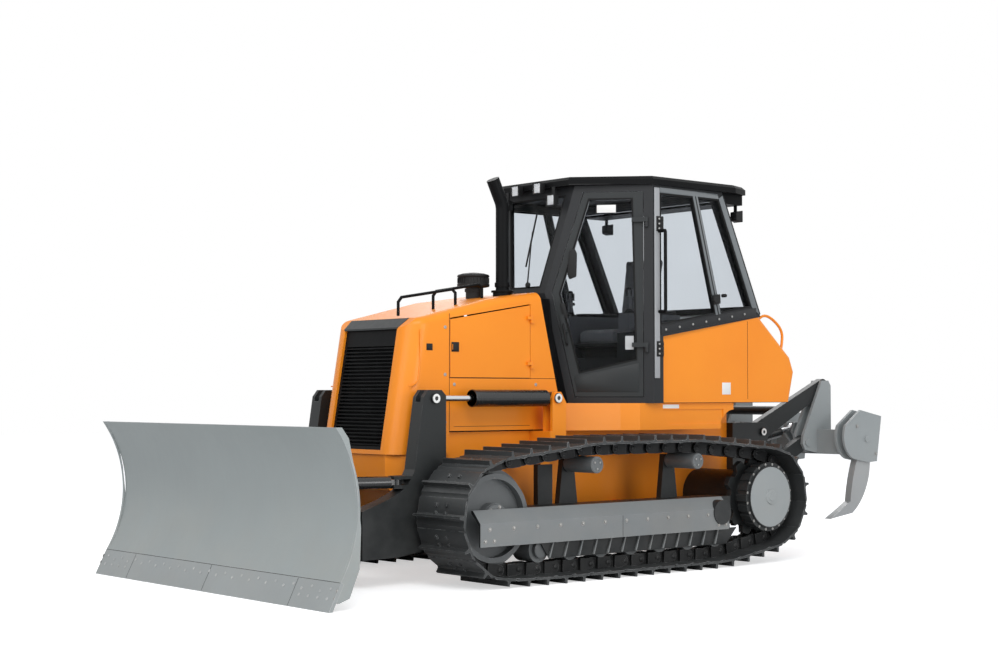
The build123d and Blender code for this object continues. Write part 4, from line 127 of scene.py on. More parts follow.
def outline(name, corners, height):
    """Flat face with the given corners, left open in edit mode."""
    bpy.ops.object.select_all(action="DESELECT")
    bpy.ops.mesh.primitive_circle_add(vertices=len(corners), radius=1, fill_type="NGON")
    piece = bpy.context.object
    piece.name = name
    edit(piece)
    mesh = bmesh.from_edit_mesh(piece.data)
    for vert, (u, v) in zip(mesh.verts, corners):
        vert.co = (u, v, height)
    bmesh.update_edit_mesh(piece.data)
    bpy.ops.mesh.select_all(action="SELECT")
    return piece


def oblong(left, right, low, high):
    """Corners of an upright rectangle."""
    return [(left, low), (right, low), (right, high), (left, high)]


def plate(name, corners, low, high, place=SIDE, bevel=0.0, segments=2):
    """Outline drawn out between two depths, its edges softened."""
    piece = outline(name, corners, low)
    bpy.ops.mesh.extrude_region_move(TRANSFORM_OT_translate={"value": (0, 0, high - low)})
    if bevel:
        bpy.ops.mesh.select_all(action="SELECT")
        bpy.ops.mesh.bevel(offset=bevel, segments=segments, affect="EDGES")
    return settle(leave(piece), place)


def rim(name, corners, width, low, high, place=SIDE, bevel=0.0):
    """Frame of even width inside an outline, such as a window's seal."""
    piece = outline(name, corners, low)
    bpy.ops.mesh.inset(thickness=width)
    bpy.ops.mesh.delete(type="FACE")
    bpy.ops.mesh.select_all(action="SELECT")
    bpy.ops.mesh.extrude_region_move(TRANSFORM_OT_translate={"value": (0, 0, high - low)})
    if bevel:
        pick(piece, lambda e: e.calc_face_angle(0) > 0.5, "edges")
        bpy.ops.mesh.bevel(offset=bevel, segments=1, affect="EDGES")
    return settle(leave(piece), place)


def turned(name, profile, spot=(0, 0), place=SIDE, sides=32):
    """Disc drawn out along its axis through (advance, radius) steps."""
    bpy.ops.object.select_all(action="DESELECT")
    at, size = profile[0]
    bpy.ops.mesh.primitive_circle_add(vertices=sides, radius=size, fill_type="NGON",
                                      location=(spot[0], spot[1], at))
    piece = bpy.context.object
    piece.name = name
    bpy.ops.object.transform_apply(location=True)
    edit(piece)
    for advance, radius in profile[1:]:
        bpy.ops.mesh.extrude_region_move(TRANSFORM_OT_translate={"value": (0, 0, advance - at)})
        bpy.ops.transform.resize(value=(radius / size, radius / size, 1),
                                 center_override=(spot[0], spot[1], advance))
        at, size = advance, radius
    return settle(leave(piece), place)


def stood(base, *profile):
    """Profile of (height, radius) corners, stood on a base along its axis."""
    return [(base + height, radius) for height, radius in profile]


def ring(name, outer, inner, low, high, spot=(0, 0), place=SIDE, sides=32, bevel=0.002):
    """Flat ring with softened edges."""
    turns = [2 * pi * k / sides for k in range(sides)]
    corners = [(spot[0] + outer * cos(turn), spot[1] + outer * sin(turn)) for turn in turns]
    return rim(name, corners, outer - inner, low, high, place, bevel)


def tube(name, points, radius, sides=3):
    """Round bar bent along a smooth line."""
    line = bpy.data.curves.new(name, "CURVE")
    line.dimensions = "3D"
    run = line.splines.new("NURBS")
    run.points.add(len(points) - 1)
    for point, spot in zip(run.points, points):
        point.co = (*spot, 1)
    run.order_u = 3
    run.use_endpoint_u = True
    run.resolution_u = 8
    line.bevel_depth = radius
    line.bevel_resolution = sides
    line.use_fill_caps = True
    piece = bpy.data.objects.new(name, line)
    bpy.context.collection.objects.link(piece)
    alone(piece)
    bpy.ops.object.convert(target="MESH")
    piece = bpy.context.object
    edit(piece)
    bpy.ops.mesh.remove_doubles(threshold=0.0001)
    return leave(piece)


def twin(piece, place):
    """Copy of a piece with its own mesh, moved by a matrix."""
    other = piece.copy()
    other.data = piece.data.copy()
    bpy.context.collection.objects.link(other)
    other.data.transform(place)
    if place.determinant() < 0:
        other.data.flip_normals()
    return other


def joined(name, parts):
    bpy.ops.object.select_all(action="DESELECT")
    for part in parts:
        part.select_set(True)
    bpy.context.view_layer.objects.active = parts[0]
    if len(parts) > 1:
        bpy.ops.object.join()
    parts[0].name = name
    return parts[0]


def spread(name, pattern, places):
    """One piece made of copies of a pattern at many places."""
    copies = [twin(pattern, place) for place in places]
    bpy.data.objects.remove(pattern)
    return joined(name, copies)


def both_sides(piece):
    return joined(piece.name, [piece, twin(piece, MIRROR)])


def finish(piece, body, paint, angle=35):
    """Smooths a piece, gives it its finish and the body it rides on."""
    alone(piece)
    bpy.ops.object.shade_smooth_by_angle(angle=radians(angle))
    piece.data.materials.clear()
    piece.data.materials.append(paint)
    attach(piece, body)
    return piece


def shift(x, y, z):
    return Matrix.Translation((x, y, z))


# ---------------------------------------------------------------- finishes
def dial(made, sockets):
    """Puts constants straight on a node's sockets."""
    for name, value in sockets.items():
        made.inputs[name].default_value = value
    return made


def node(tree, kind, x, y, sockets=None, **values):
    """Shader node with its settings and the constants on its sockets."""
    made = tree.nodes.new(kind)
    made.location = (x, y)
    for name, value in values.items():
        setattr(made, name, value)
    return dial(made, sockets or {})


def wire(source, output, target, entry):
    """Joins an output of one node to an input of another in the same tree."""
    source.id_data.links.new(source.outputs[output], target.inputs[entry])


def group(name, inputs, outputs):
    """Empty shader group with named sockets: (name, default) in, names out."""
    tree = bpy.data.node_groups.new(name, "ShaderNodeTree")
    for socket, default in inputs:
        made = tree.interface.new_socket(socket, in_out="INPUT", socket_type="NodeSocketFloat")
        made.default_value = default
    for socket in outputs:
        tree.interface.new_socket(socket, in_out="OUTPUT", socket_type="NodeSocketFloat")
    return tree, node(tree, "NodeGroupInput", -900, 0), node(tree, "NodeGroupOutput", 700, 0)


def worn_edges():
    """Mask of the chafed outer edges, broken up so that it isn't an even line."""
    tree, given, out = group("worn_edges", (("Width", 0.004), ("Breakup", 9.0), ("Amount", 0.6)),
                             ("Mask",))
    soft = node(tree, "ShaderNodeBevel", -700, 200, samples=6)
    flat = node(tree, "ShaderNodeNewGeometry", -700, 0)
    dot = node(tree, "ShaderNodeVectorMath", -500, 100, operation="DOT_PRODUCT")
    edge = node(tree, "ShaderNodeMapRange", -300, 100, {"From Min": 0.985, "From Max": 0.80},
                interpolation_type="SMOOTHSTEP")
    place = node(tree, "ShaderNodeTexCoord", -700, -250)
    spots = node(tree, "ShaderNodeTexNoise", -500, -250, {"Detail": 5, "Roughness": 0.65})
    patch = node(tree, "ShaderNodeMapRange", -300, -250, {"From Min": 0.42, "From Max": 0.62})
    both = node(tree, "ShaderNodeMath", -100, 0, operation="MULTIPLY")
    share = node(tree, "ShaderNodeMath", 100, 0, operation="MULTIPLY", use_clamp=True)
    wire(given, "Width", soft, "Radius")
    wire(soft, 0, dot, 0)
    wire(flat, "Normal", dot, 1)
    wire(dot, "Value", edge, "Value")
    wire(place, "Object", spots, "Vector")
    wire(given, "Breakup", spots, "Scale")
    wire(spots, "Fac", patch, "Value")
    wire(edge, 0, both, 0)
    wire(patch, 0, both, 1)
    wire(both, 0, share, 0)
    wire(given, "Amount", share, 1)
    wire(share, 0, out, "Mask")
    return tree


def settled_dust():
    """Mask of the dust that lies low on the machine and on its upward faces."""
    tree, given, out = group("settled_dust", (("Foot", 0.2), ("Reach", 1.0), ("Scale", 3.0),
                                              ("Amount", 0.5)), ("Mask",))
    place = node(tree, "ShaderNodeTexCoord", -800, -200)
    apart = node(tree, "ShaderNodeSeparateXYZ", -600, 100)
    low = node(tree, "ShaderNodeMapRange", -400, 150, {"To Min": 1, "To Max": 0},
               interpolation_type="SMOOTHSTEP")
    face = node(tree, "ShaderNodeNewGeometry", -800, 350)
    turn = node(tree, "ShaderNodeSeparateXYZ", -600, 350)
    lying = node(tree, "ShaderNodeMapRange", -400, 400, {"From Min": 0.5, "To Max": 0.45})
    most = node(tree, "ShaderNodeMath", -200, 250, operation="MAXIMUM")
    cloud = node(tree, "ShaderNodeTexNoise", -600, -200, {"Detail": 6, "Roughness": 0.6})
    patch = node(tree, "ShaderNodeMapRange", -400, -200, {"From Min": 0.35, "From Max": 0.7})
    both = node(tree, "ShaderNodeMath", 0, 0, operation="MULTIPLY")
    share = node(tree, "ShaderNodeMath", 200, 0, operation="MULTIPLY", use_clamp=True)
    wire(place, "Object", apart, 0)
    wire(apart, "Z", low, "Value")
    wire(given, "Foot", low, "From Min")
    wire(given, "Reach", low, "From Max")
    wire(face, "Normal", turn, 0)
    wire(turn, "Z", lying, "Value")
    wire(low, 0, most, 0)
    wire(lying, 0, most, 1)
    wire(place, "Object", cloud, "Vector")
    wire(given, "Scale", cloud, "Scale")
    wire(cloud, "Fac", patch, "Value")
    wire(most, 0, both, 0)
    wire(patch, 0, both, 1)
    wire(both, 0, share, 0)
    wire(given, "Amount", share, 1)
    wire(share, 0, out, "Mask")
    return tree


def fine_grain():
    """Slow drift of tone, streaks that run down, and the small relief of a sprayed face."""
    tree, given, out = group("fine_grain", (("Scale", 120.0), ("Stretch", 1.0)),
                             ("Drift", "Streaks", "Relief"))
    place = node(tree, "ShaderNodeTexCoord", -800, 0)
    drift = node(tree, "ShaderNodeTexNoise", -400, 300, {"Scale": 1.7, "Detail": 3})
    down = node(tree, "ShaderNodeMapping", -600, 0, {"Scale": (26, 26, 1.6)})
    streak = node(tree, "ShaderNodeTexNoise", -400, 0, {"Scale": 1.0, "Detail": 4})
    drawn = node(tree, "ShaderNodeCombineXYZ", -600, -400, {"Y": 1, "Z": 1})
    along = node(tree, "ShaderNodeVectorMath", -500, -250, operation="MULTIPLY")
    relief = node(tree, "ShaderNodeTexNoise", -300, -250, {"Detail": 2})
    wire(place, "Object", drift, "Vector")
    wire(place, "Object", down, "Vector")
    wire(down, 0, streak, "Vector")
    wire(given, "Stretch", drawn, "X")
    wire(place, "Object", along, 0)
    wire(drawn, 0, along, 1)
    wire(along, 0, relief, "Vector")
    wire(given, "Scale", relief, "Scale")
    wire(drift, "Fac", out, "Drift")
    wire(streak, "Fac", out, "Streaks")
    wire(relief, "Fac", out, "Relief")
    return tree


worn_edge_group = worn_edges()
dust_group = settled_dust()
grain_group = fine_grain()


def placed(tree, inner, x, y, **values):
    """Copy of one of the shared groups with its own settings."""
    return dial(node(tree, "ShaderNodeGroup", x, y, node_tree=inner), values)


def tint(tree, x, y, first, second, mask):
    """Colour node that goes from the first colour, or socket, to the second by a mask."""
    mix = node(tree, "ShaderNodeMix", x, y, {7: (*second, 1)}, data_type="RGBA")
    if isinstance(first, tuple):
        mix.inputs[6].default_value = (*first, 1)
    else:
        tree.links.new(first, mix.inputs[6])
    tree.links.new(mask, mix.inputs[0])
    return mix.outputs[2]


def coated(name, color, deep, bare, dust, rough=0.4, metal=0.0, wear=0.5, width=0.004, breakup=9.0,
           dust_amount=0.35, dust_foot=0.1, dust_reach=1.3, relief=0.06, scale=160.0, stretch=1.0,
           coat=0.0, specular=0.5):
    """Painted, cast or rolled finish: tone drifting to a deeper one, bare edges, dust low down."""
    paint = bpy.data.materials.new(name)
    paint.use_nodes = True
    tree = paint.node_tree
    shader = tree.nodes["Principled BSDF"]
    dial(shader, {"Metallic": metal, "Coat Weight": coat, "Coat Roughness": 0.15,
                  "Specular IOR Level": specular})
    grain = placed(tree, grain_group, -1100, 200, Scale=scale, Stretch=stretch)
    edges = placed(tree, worn_edge_group, -1100, 0, Width=width, Breakup=breakup, Amount=wear)
    film = placed(tree, dust_group, -1100, -250, Foot=dust_foot, Reach=dust_reach,
                  Amount=dust_amount)
    base = tint(tree, -700, 300, color, deep, grain.outputs["Drift"])
    base = tint(tree, -500, 250, base, bare, edges.outputs["Mask"])
    base = tint(tree, -300, 200, base, dust, film.outputs["Mask"])
    tree.links.new(base, shader.inputs["Base Color"])
    dull = node(tree, "ShaderNodeMapRange", -700, -50, {"To Min": rough - 0.07,
                "To Max": rough + 0.10})
    wire(grain, "Streaks", dull, "Value")
    dusty = node(tree, "ShaderNodeMath", -400, -50, {1: 0.35}, operation="MULTIPLY_ADD",
                 use_clamp=True)
    wire(film, "Mask", dusty, 0)
    wire(dull, 0, dusty, 2)
    wire(dusty, 0, shader, "Roughness")
    bump = node(tree, "ShaderNodeBump", -400, -350, {"Strength": relief, "Distance": 0.002})
    wire(grain, "Relief", bump, "Height")
    wire(bump, 0, shader, "Normal")
    return paint


CLAY = (0.36, 0.31, 0.25)
STONE = (0.30, 0.30, 0.29)
orange_enamel = coated("orange_enamel", (0.885, 0.285, 0.013), (0.80, 0.225, 0.008),
                       (0.60, 0.42, 0.28), CLAY, rough=0.40, wear=0.3, width=0.003,
                       dust_amount=0.07, coat=0.12, specular=0.3)
black_enamel = coated("black_enamel", (0.0060, 0.0065, 0.0070), (0.0035, 0.0038, 0.0042),
                      (0.10, 0.10, 0.10), STONE, rough=0.42, wear=0.4, dust_amount=0.04,
                      specular=0.08)
arm_enamel = coated("arm_enamel", (0.0190, 0.0215, 0.0220), (0.012, 0.0135, 0.014),
                    (0.16, 0.16, 0.16), STONE, rough=0.40, wear=0.6, dust_amount=0.10,
                    specular=0.3)
door_enamel = coated("door_enamel", (0.026, 0.0295, 0.0305), (0.019, 0.0215, 0.0225),
                     (0.16, 0.16, 0.16), STONE, rough=0.38, wear=0.35, dust_amount=0.05,
                     specular=0.25)
pillar_enamel = coated("pillar_enamel", (0.33, 0.34, 0.35), (0.27, 0.28, 0.29), (0.5, 0.5, 0.5),
                       STONE, rough=0.32, wear=0.4, dust_amount=0.08)
cab_enamel = coated("cab_enamel", (0.020, 0.0215, 0.0235), (0.014, 0.015, 0.0165),
                    (0.16, 0.16, 0.16), STONE, rough=0.4, wear=0.35, dust_amount=0.06,
                    specular=0.25)
blade_enamel = coated("blade_enamel", (0.285, 0.315, 0.312), (0.240, 0.266, 0.264),
                      (0.50, 0.51, 0.51), CLAY, rough=0.42, wear=0.8, width=0.008, breakup=5.0,
                      dust_amount=0.18, dust_reach=0.9, relief=0.12, scale=60.0)
edge_steel = coated("edge_steel", (0.31, 0.335, 0.337), (0.25, 0.27, 0.272), (0.60, 0.61, 0.61),
                    CLAY, rough=0.38, metal=0.35, wear=0.9, width=0.006, dust_amount=0.12,
                    relief=0.25, scale=40.0, stretch=0.08)
shoe_steel = coated("shoe_steel", (0.050, 0.054, 0.055), (0.030, 0.032, 0.033), (0.34, 0.35, 0.35),
                    STONE, rough=0.42, metal=0.3, wear=1.0, width=0.006, breakup=14.0,
                    dust_amount=0.10, relief=0.3, scale=55.0)
chain_steel = coated("chain_steel", (0.014, 0.015, 0.0155), (0.008, 0.0085, 0.009),
                     (0.24, 0.24, 0.24), STONE, rough=0.42, metal=0.3, wear=1.0, width=0.005,
                     dust_amount=0.08, relief=0.3, scale=70.0, specular=0.3)
carriage_enamel = coated("carriage_enamel", (0.205, 0.220, 0.223), (0.150, 0.162, 0.165),
                         (0.42, 0.43, 0.43), CLAY, rough=0.42, wear=0.8, width=0.005,
                         dust_amount=0.14, relief=0.2, scale=70.0, specular=0.4)
wheel_enamel = coated("wheel_enamel", (0.135, 0.145, 0.148), (0.090, 0.097, 0.099),
                      (0.36, 0.37, 0.37), STONE, rough=0.40, wear=0.9, width=0.005,
                      dust_amount=0.12, relief=0.2, scale=70.0, specular=0.4)
engine_cast = coated("engine_cast", (0.05, 0.05, 0.05), (0.03, 0.03, 0.03), (0.15, 0.14, 0.13),
                     STONE, rough=0.65, wear=0.4, relief=0.5, scale=90.0)
cylinder_enamel = coated("cylinder_enamel", (0.016, 0.0175, 0.018), (0.010, 0.011, 0.0115),
                         (0.2, 0.2, 0.2), STONE, rough=0.24, wear=0.5, dust_amount=0.05, coat=0.3)
ripper_enamel = coated("ripper_enamel", (0.30, 0.325, 0.328), (0.24, 0.262, 0.265),
                       (0.50, 0.51, 0.51), CLAY, rough=0.40, wear=0.8, width=0.006,
                       dust_amount=0.12, relief=0.15, scale=60.0)
shank_steel = coated("shank_steel", (0.40, 0.415, 0.418), (0.28, 0.292, 0.295), (0.58, 0.58, 0.57),
                     CLAY, rough=0.38, metal=0.3, wear=0.9, width=0.008, relief=0.35, scale=45.0,
                     dust_amount=0.15)
bolt_zinc = coated("bolt_zinc", (0.42, 0.42, 0.41), (0.30, 0.30, 0.29), (0.65, 0.65, 0.63), CLAY,
                   rough=0.36, metal=0.8, wear=0.6, width=0.002, dust_amount=0.2)
rod_plating = coated("rod_plating", (0.72, 0.73, 0.75), (0.66, 0.67, 0.69), (0.8, 0.8, 0.8), STONE,
                     rough=0.12, metal=1.0, wear=0.0, dust_amount=0.05, relief=0.03, scale=220.0)
trim_moulding = coated("trim_moulding", (0.012, 0.0125, 0.013), (0.007, 0.0072, 0.0075),
                       (0.07, 0.07, 0.07), STONE, rough=0.6, wear=0.3, dust_amount=0.06,
                       relief=0.35, scale=420.0, specular=0.3)
cab_moulding = coated("cab_moulding", (0.085, 0.088, 0.095), (0.060, 0.062, 0.068),
                      (0.14, 0.14, 0.14), STONE, rough=0.62, wear=0.3, dust_amount=0.10,
                      relief=0.35, scale=380.0)
seal_rubber = coated("seal_rubber", (0.0060, 0.0062, 0.0065), (0.004, 0.0042, 0.0045),
                     (0.05, 0.05, 0.05), STONE, rough=0.7, wear=0.2, dust_amount=0.06, relief=0.2,
                     scale=300.0, specular=0.25)
glazing_grey = coated("glazing_grey", (0.150, 0.165, 0.172), (0.120, 0.133, 0.140),
                      (0.25, 0.26, 0.26), STONE, rough=0.18, wear=0.2, width=0.002,
                      dust_amount=0.05, coat=0.4)
# white of the stickers and the lift pins' caps, also the pale ring painted as a highlight on the
# ripper's pins
white_marks_and_highlight = coated("white_marks_and_highlight", (0.78, 0.78, 0.76), (0.68, 0.68, 0.66), (0.4, 0.4, 0.4),
                      CLAY, rough=0.4, wear=0.5, width=0.002, dust_amount=0.15)
label_grey = coated("label_grey", (0.50, 0.52, 0.53), (0.42, 0.44, 0.45), (0.3, 0.3, 0.3), STONE,
                    rough=0.35, wear=0.3, width=0.002, dust_amount=0.1)
signal_red = coated("signal_red", (0.42, 0.012, 0.010), (0.30, 0.008, 0.008), (0.5, 0.1, 0.1),
                    STONE, rough=0.2, wear=0.1, dust_amount=0.1, coat=0.6)
lamp_reflector = coated("lamp_reflector", (0.80, 0.81, 0.82), (0.70, 0.71, 0.72), (0.9, 0.9, 0.9),
                        STONE, rough=0.22, metal=0.3, wear=0.0, dust_amount=0.0, relief=0.6,
                        scale=70.0)


def tinted_glass(name, color, rough, film):
    """Pane with a faint film of dust that dulls it in places."""
    pane = bpy.data.materials.new(name)
    pane.use_nodes = True
    tree = pane.node_tree
    shader = tree.nodes["Principled BSDF"]
    dial(shader, {"Transmission Weight": 1.0, "IOR": 1.12})
    grain = placed(tree, grain_group, -900, 0, Scale=30.0)
    haze = placed(tree, dust_group, -900, -250, Foot=1.4, Reach=3.4, Scale=2.0, Amount=film)
    tone = tint(tree, -500, 200, color, tuple(c * 0.93 for c in color), grain.outputs["Drift"])
    tone = tint(tree, -300, 150, tone, (0.62, 0.63, 0.64), haze.outputs["Mask"])
    tree.links.new(tone, shader.inputs["Base Color"])
    dull = node(tree, "ShaderNodeMapRange", -500, -100, {"To Min": rough, "To Max": rough + 0.05})
    wire(grain, "Streaks", dull, "Value")
    wire(dull, 0, shader, "Roughness")
    return pane


cab_pane = tinted_glass("cab_pane", (0.80, 0.83, 0.86), 0.015, 0.25)
lamp_lens = tinted_glass("lamp_lens", (0.95, 0.96, 0.97), 0.05, 0.05)


def woven_cloth():
    """Seat cover: crossing threads, soft sheen and a tone that drifts lighter in patches."""
    cloth = bpy.data.materials.new("woven_cloth")
    cloth.use_nodes = True
    tree = cloth.node_tree
    shader = tree.nodes["Principled BSDF"]
    dial(shader, {"Sheen Weight": 0.3})
    place = node(tree, "ShaderNodeTexCoord", -1100, 0)
    threads = []
    for axis in ("X", "Z", "Y"):
        wave = node(tree, "ShaderNodeTexWave", -900, 200 - 200 * len(threads),
                    {"Scale": 130, "Distortion": 0.6}, bands_direction=axis)
        wire(place, "Object", wave, "Vector")
        threads.append(wave)
    cross = node(tree, "ShaderNodeMath", -700, 100, operation="ADD")
    wire(threads[0], "Fac", cross, 0)
    wire(threads[1], "Fac", cross, 1)
    weave = node(tree, "ShaderNodeMath", -500, 100, {1: 0.5}, operation="MULTIPLY_ADD")
    wire(cross, 0, weave, 0)
    wire(threads[2], "Fac", weave, 2)
    grain = placed(tree, grain_group, -900, -450, Scale=300.0)
    tone = tint(tree, -300, 200, (0.045, 0.047, 0.052), (0.075, 0.078, 0.085), weave.outputs[0])
    tone = tint(tree, -150, 200, tone, (0.095, 0.097, 0.10), grain.outputs["Drift"])
    tree.links.new(tone, shader.inputs["Base Color"])
    dull = node(tree, "ShaderNodeMapRange", -300, -100, {"To Min": 0.75, "To Max": 0.95})
    wire(grain, "Streaks", dull, "Value")
    wire(dull, 0, shader, "Roughness")
    bump = node(tree, "ShaderNodeBump", -300, -350, {"Strength": 0.4, "Distance": 0.001})
    wire(weave, 0, bump, "Height")
    wire(bump, 0, shader, "Normal")
    return cloth


seat_cloth = woven_cloth()

# finish of every solid that shows as it comes from the frame
node_finish = {
    orange_enamel: ("hood", "engine_door_left", "engine_door_right", "rear_body", "main_frame",
                    "fenders"),
    black_enamel: ("grille", "cab_roof", "exhaust_stack", "pre_cleaner", "hood_rails", "cowl",
                   "grab_handles"),
    arm_enamel: ("c_frame", "angle_yoke", "ripper_mount", "ripper_lower_link",
                 "ripper_upper_link", "track_frames", "final_drives"),
    door_enamel: ("door_left", "door_right"),
    cab_enamel: ("cab_frame",),
    cab_pane: ("cab_glass", "door_glass_left", "door_glass_right"),
    shoe_steel: ("track_left", "track_right"),
    wheel_enamel: ("idlers", "track_rollers", "carrier_rollers"),
    engine_cast: ("engine_block",),
    blade_enamel: ("moldboard",),
    cylinder_enamel: ("lift_barrels", "angle_barrel_left", "angle_barrel_right", "tilt_barrel",
                      "ripper_barrels"),
    ripper_enamel: ("ripper_beam",),
    edge_steel: ("cutting_edge",),
    shank_steel: ("ripper_shanks",),
    rod_plating: ("lift_rods", "angle_rod_left", "angle_rod_right", "tilt_rod", "ripper_rods"),
    cab_moulding: ("console",),
    trim_moulding: ("work_lights",),
    seat_cloth: ("seat",),
}
for paint, names in node_finish.items():
    for name in names:
        for holder in nodes[name].material_slots:
            holder.material = paint


# ---------------------------------------------------------------- camera, floor, light
def set_camera():
    bpy.ops.object.camera_add(location=(10.1, -9.138, 1.335))
    camera = bpy.context.object
    aim = Vector((-cos(radians(40.5)), sin(radians(40.5)), 0))
    look = aim * cos(radians(2.0145)) + Vector((0, 0, sin(radians(2.0145))))
    camera.rotation_euler = look.to_track_quat("-Z", "Y").to_euler()
    camera.data.lens = 62.04
    camera.data.sensor_width = 36
    bpy.context.scene.camera = camera


def stage_material(name, color):
    """Pale finish that reads as plain to the camera and still takes the machine's shadow."""
    paint = bpy.data.materials.new(name)
    paint.use_nodes = True
    tree = paint.node_tree
    shader = tree.nodes["Principled BSDF"]
    dial(shader, {"Base Color": (*color, 1), "Roughness": 0.9, "Specular IOR Level": 0.1})
    # lifted to white where it is looked at, without lighting the machine
    dial(shader, {"Emission Color": (1, 1, 1, 1)})
    rays = node(tree, "ShaderNodeLightPath", -600, 0)
    seen = node(tree, "ShaderNodeMath", -400, 0, {1: 0.54}, operation="MULTIPLY")
    wire(rays, "Is Camera Ray", seen, 0)
    wire(seen, 0, shader, "Emission Strength")
    return paint


def set_stage():
    bpy.ops.mesh.primitive_plane_add(size=80, location=(0, 0, 0))
    floor = bpy.context.object
    floor.name = "studio_floor"
    floor.data.materials.append(stage_material("studio_floor_paint", (0.80, 0.80, 0.80)))
    world = bpy.data.worlds.new("studio_air")
    bpy.context.scene.world = world
    world.use_nodes = True
    tree = world.node_tree
    back = dial(tree.nodes["Background"], {"Color": (0.93, 0.95, 1.0, 1), "Strength": 0.62})
    shown = node(tree, "ShaderNodeBackground", 0, -200,
                 {"Color": (1.0, 1.0, 1.0, 1), "Strength": 1.0})
    rays = node(tree, "ShaderNodeLightPath", -600, 200)
    either = node(tree, "ShaderNodeMath", -400, 200, operation="MAXIMUM")
    shiny = node(tree, "ShaderNodeMath", -200, 200, operation="MAXIMUM")
    mix = node(tree, "ShaderNodeMixShader", 200, 0)
    wire(rays, "Is Camera Ray", either, 0)
    wire(rays, "Is Transmission Ray", either, 1)
    wire(either, 0, shiny, 0)
    wire(rays, "Is Glossy Ray", shiny, 1)
    wire(shiny, 0, mix, 0)
    wire(back, 0, mix, 1)
    wire(shown, 0, mix, 2)
    tree.links.new(mix.outputs[0], tree.nodes["World Output"].inputs[0])
    # large soft lamps: (name, place, aim, size, power)
    for name, place, aim, size, power in (
        ("key_lamp", (9, -7, 10), (0, 0, 1.0), 7.0, 820),
        ("fill_lamp", (4, -13, 5), (0, -1, 1.0), 7.0, 360),
        ("side_lamp", (12, 0, 1.9), (0, 0, 0.7), 5.0, 330),
        ("rear_lamp", (-8, 8, 9), (0, 0, 1.2), 7.0, 420),
    ):
        bpy.ops.object.light_add(type="AREA", location=place)
        lamp = bpy.context.object
        lamp.name = name
        lamp.data.size = size
        lamp.data.energy = power
        lamp.rotation_euler = (Vector(aim) - Vector(place)).to_track_quat("-Z", "Y").to_euler()
    bpy.context.scene.view_settings.view_transform = "Standard"


# ---------------------------------------------------------------- tracks
def belt_runs(discs):
    """Tangent lines and arcs round a ring of discs (y, z, radius), as (kind, data, length)."""
    normals = []
    for k, (y_a, z_a, r_a) in enumerate(discs):
        y_b, z_b, r_b = discs[(k + 1) % len(discs)]
        reach = hypot(y_b - y_a, z_b - z_a)
        run_y, run_z = (y_b - y_a) / reach, (z_b - z_a) / reach
        lean = (r_a - r_b) / reach
        out = sqrt(1 - lean * lean)
        normals.append((run_y * lean + run_z * out, run_z * lean - run_y * out))
    runs = []
    for k, (y_a, z_a, r_a) in enumerate(discs):
        n_y, n_z = normals[k]
        y_b, z_b, r_b = discs[(k + 1) % len(discs)]
        start = (y_a + n_y * r_a, z_a + n_z * r_a)
        end = (y_b + n_y * r_b, z_b + n_z * r_b)
        runs.append(("run", (start, end, (n_y, n_z)), hypot(end[0] - start[0], end[1] - start[1])))
        turn_from = atan2(n_z, n_y)
        next_y, next_z = normals[(k + 1) % len(discs)]
        turn = (atan2(next_z, next_y) - turn_from) % (2 * pi)
        runs.append(("arc", (discs[(k + 1) % len(discs)], turn_from, turn), r_b * turn))
    return runs


def belt_stations(runs, count):
    """Evenly spaced (y, z, outward y, outward z) stations round the belt."""
    whole = sum(length for _, _, length in runs)
    stations = []
    for k in range(count):
        ahead = whole * k / count
        for kind, data, length in runs:
            if ahead <= length:
                break
            ahead -= length
        if kind == "run":
            start, end, normal = data
            y = start[0] + (end[0] - start[0]) * ahead / length
            z = start[1] + (end[1] - start[1]) * ahead / length
        else:
            (centre_y, centre_z, radius), turn_from, turn = data
            at = turn_from + turn * ahead / length
            normal = (cos(at), sin(at))
            y, z = centre_y + radius * normal[0], centre_z + radius * normal[1]
        stations.append((y, z, normal[0], normal[1]))
    return stations, whole / count


belt = belt_runs([
    *((y, CHAIN_BASE + ROLLER_R, ROLLER_R) for y in ROLLER_ROW),
    (*SPROCKET, 0.288), (*CARRIERS[1], 0.062), (*CARRIERS[0], 0.062), (*IDLER, 0.318),
])
stations, PITCH = belt_stations(belt, SHOE_COUNT)


def link_places():
    """Matrices that put a link, made from pin to pin along y, on each span of the left chain."""
    pins = [(y + n_y * PIN_LEVEL, z + n_z * PIN_LEVEL) for y, z, n_y, n_z in stations]
    places = []
    for k, (y, z) in enumerate(pins):
        end_y, end_z = pins[(k + 1) % SHOE_COUNT]
        span = hypot(end_y - y, end_z - z)
        run_y, run_z = (end_y - y) / span, (end_z - z) / span
        stretch = span / PITCH
        places.append(Matrix(((-1, 0, 0, TRACK_X), (0, run_y * stretch, run_z, y),
                              (0, run_z * stretch, -run_y, z), (0, 0, 0, 1))))
    return places


def hex_bolt(radius, height, spot, axis_place):
    """Bolt head with a washer, standing on the plane of its outline."""
    washer = turned("washer", [(0, radius * 1.45), (height * 0.2, radius * 1.45)], spot, PLAN, 12)
    head = turned("head", [(height * 0.2, radius), (height * 0.85, radius),
                           (height, radius * 0.78)], spot, PLAN, 6)
    return settle(joined("bolt", [washer, head]), axis_place)


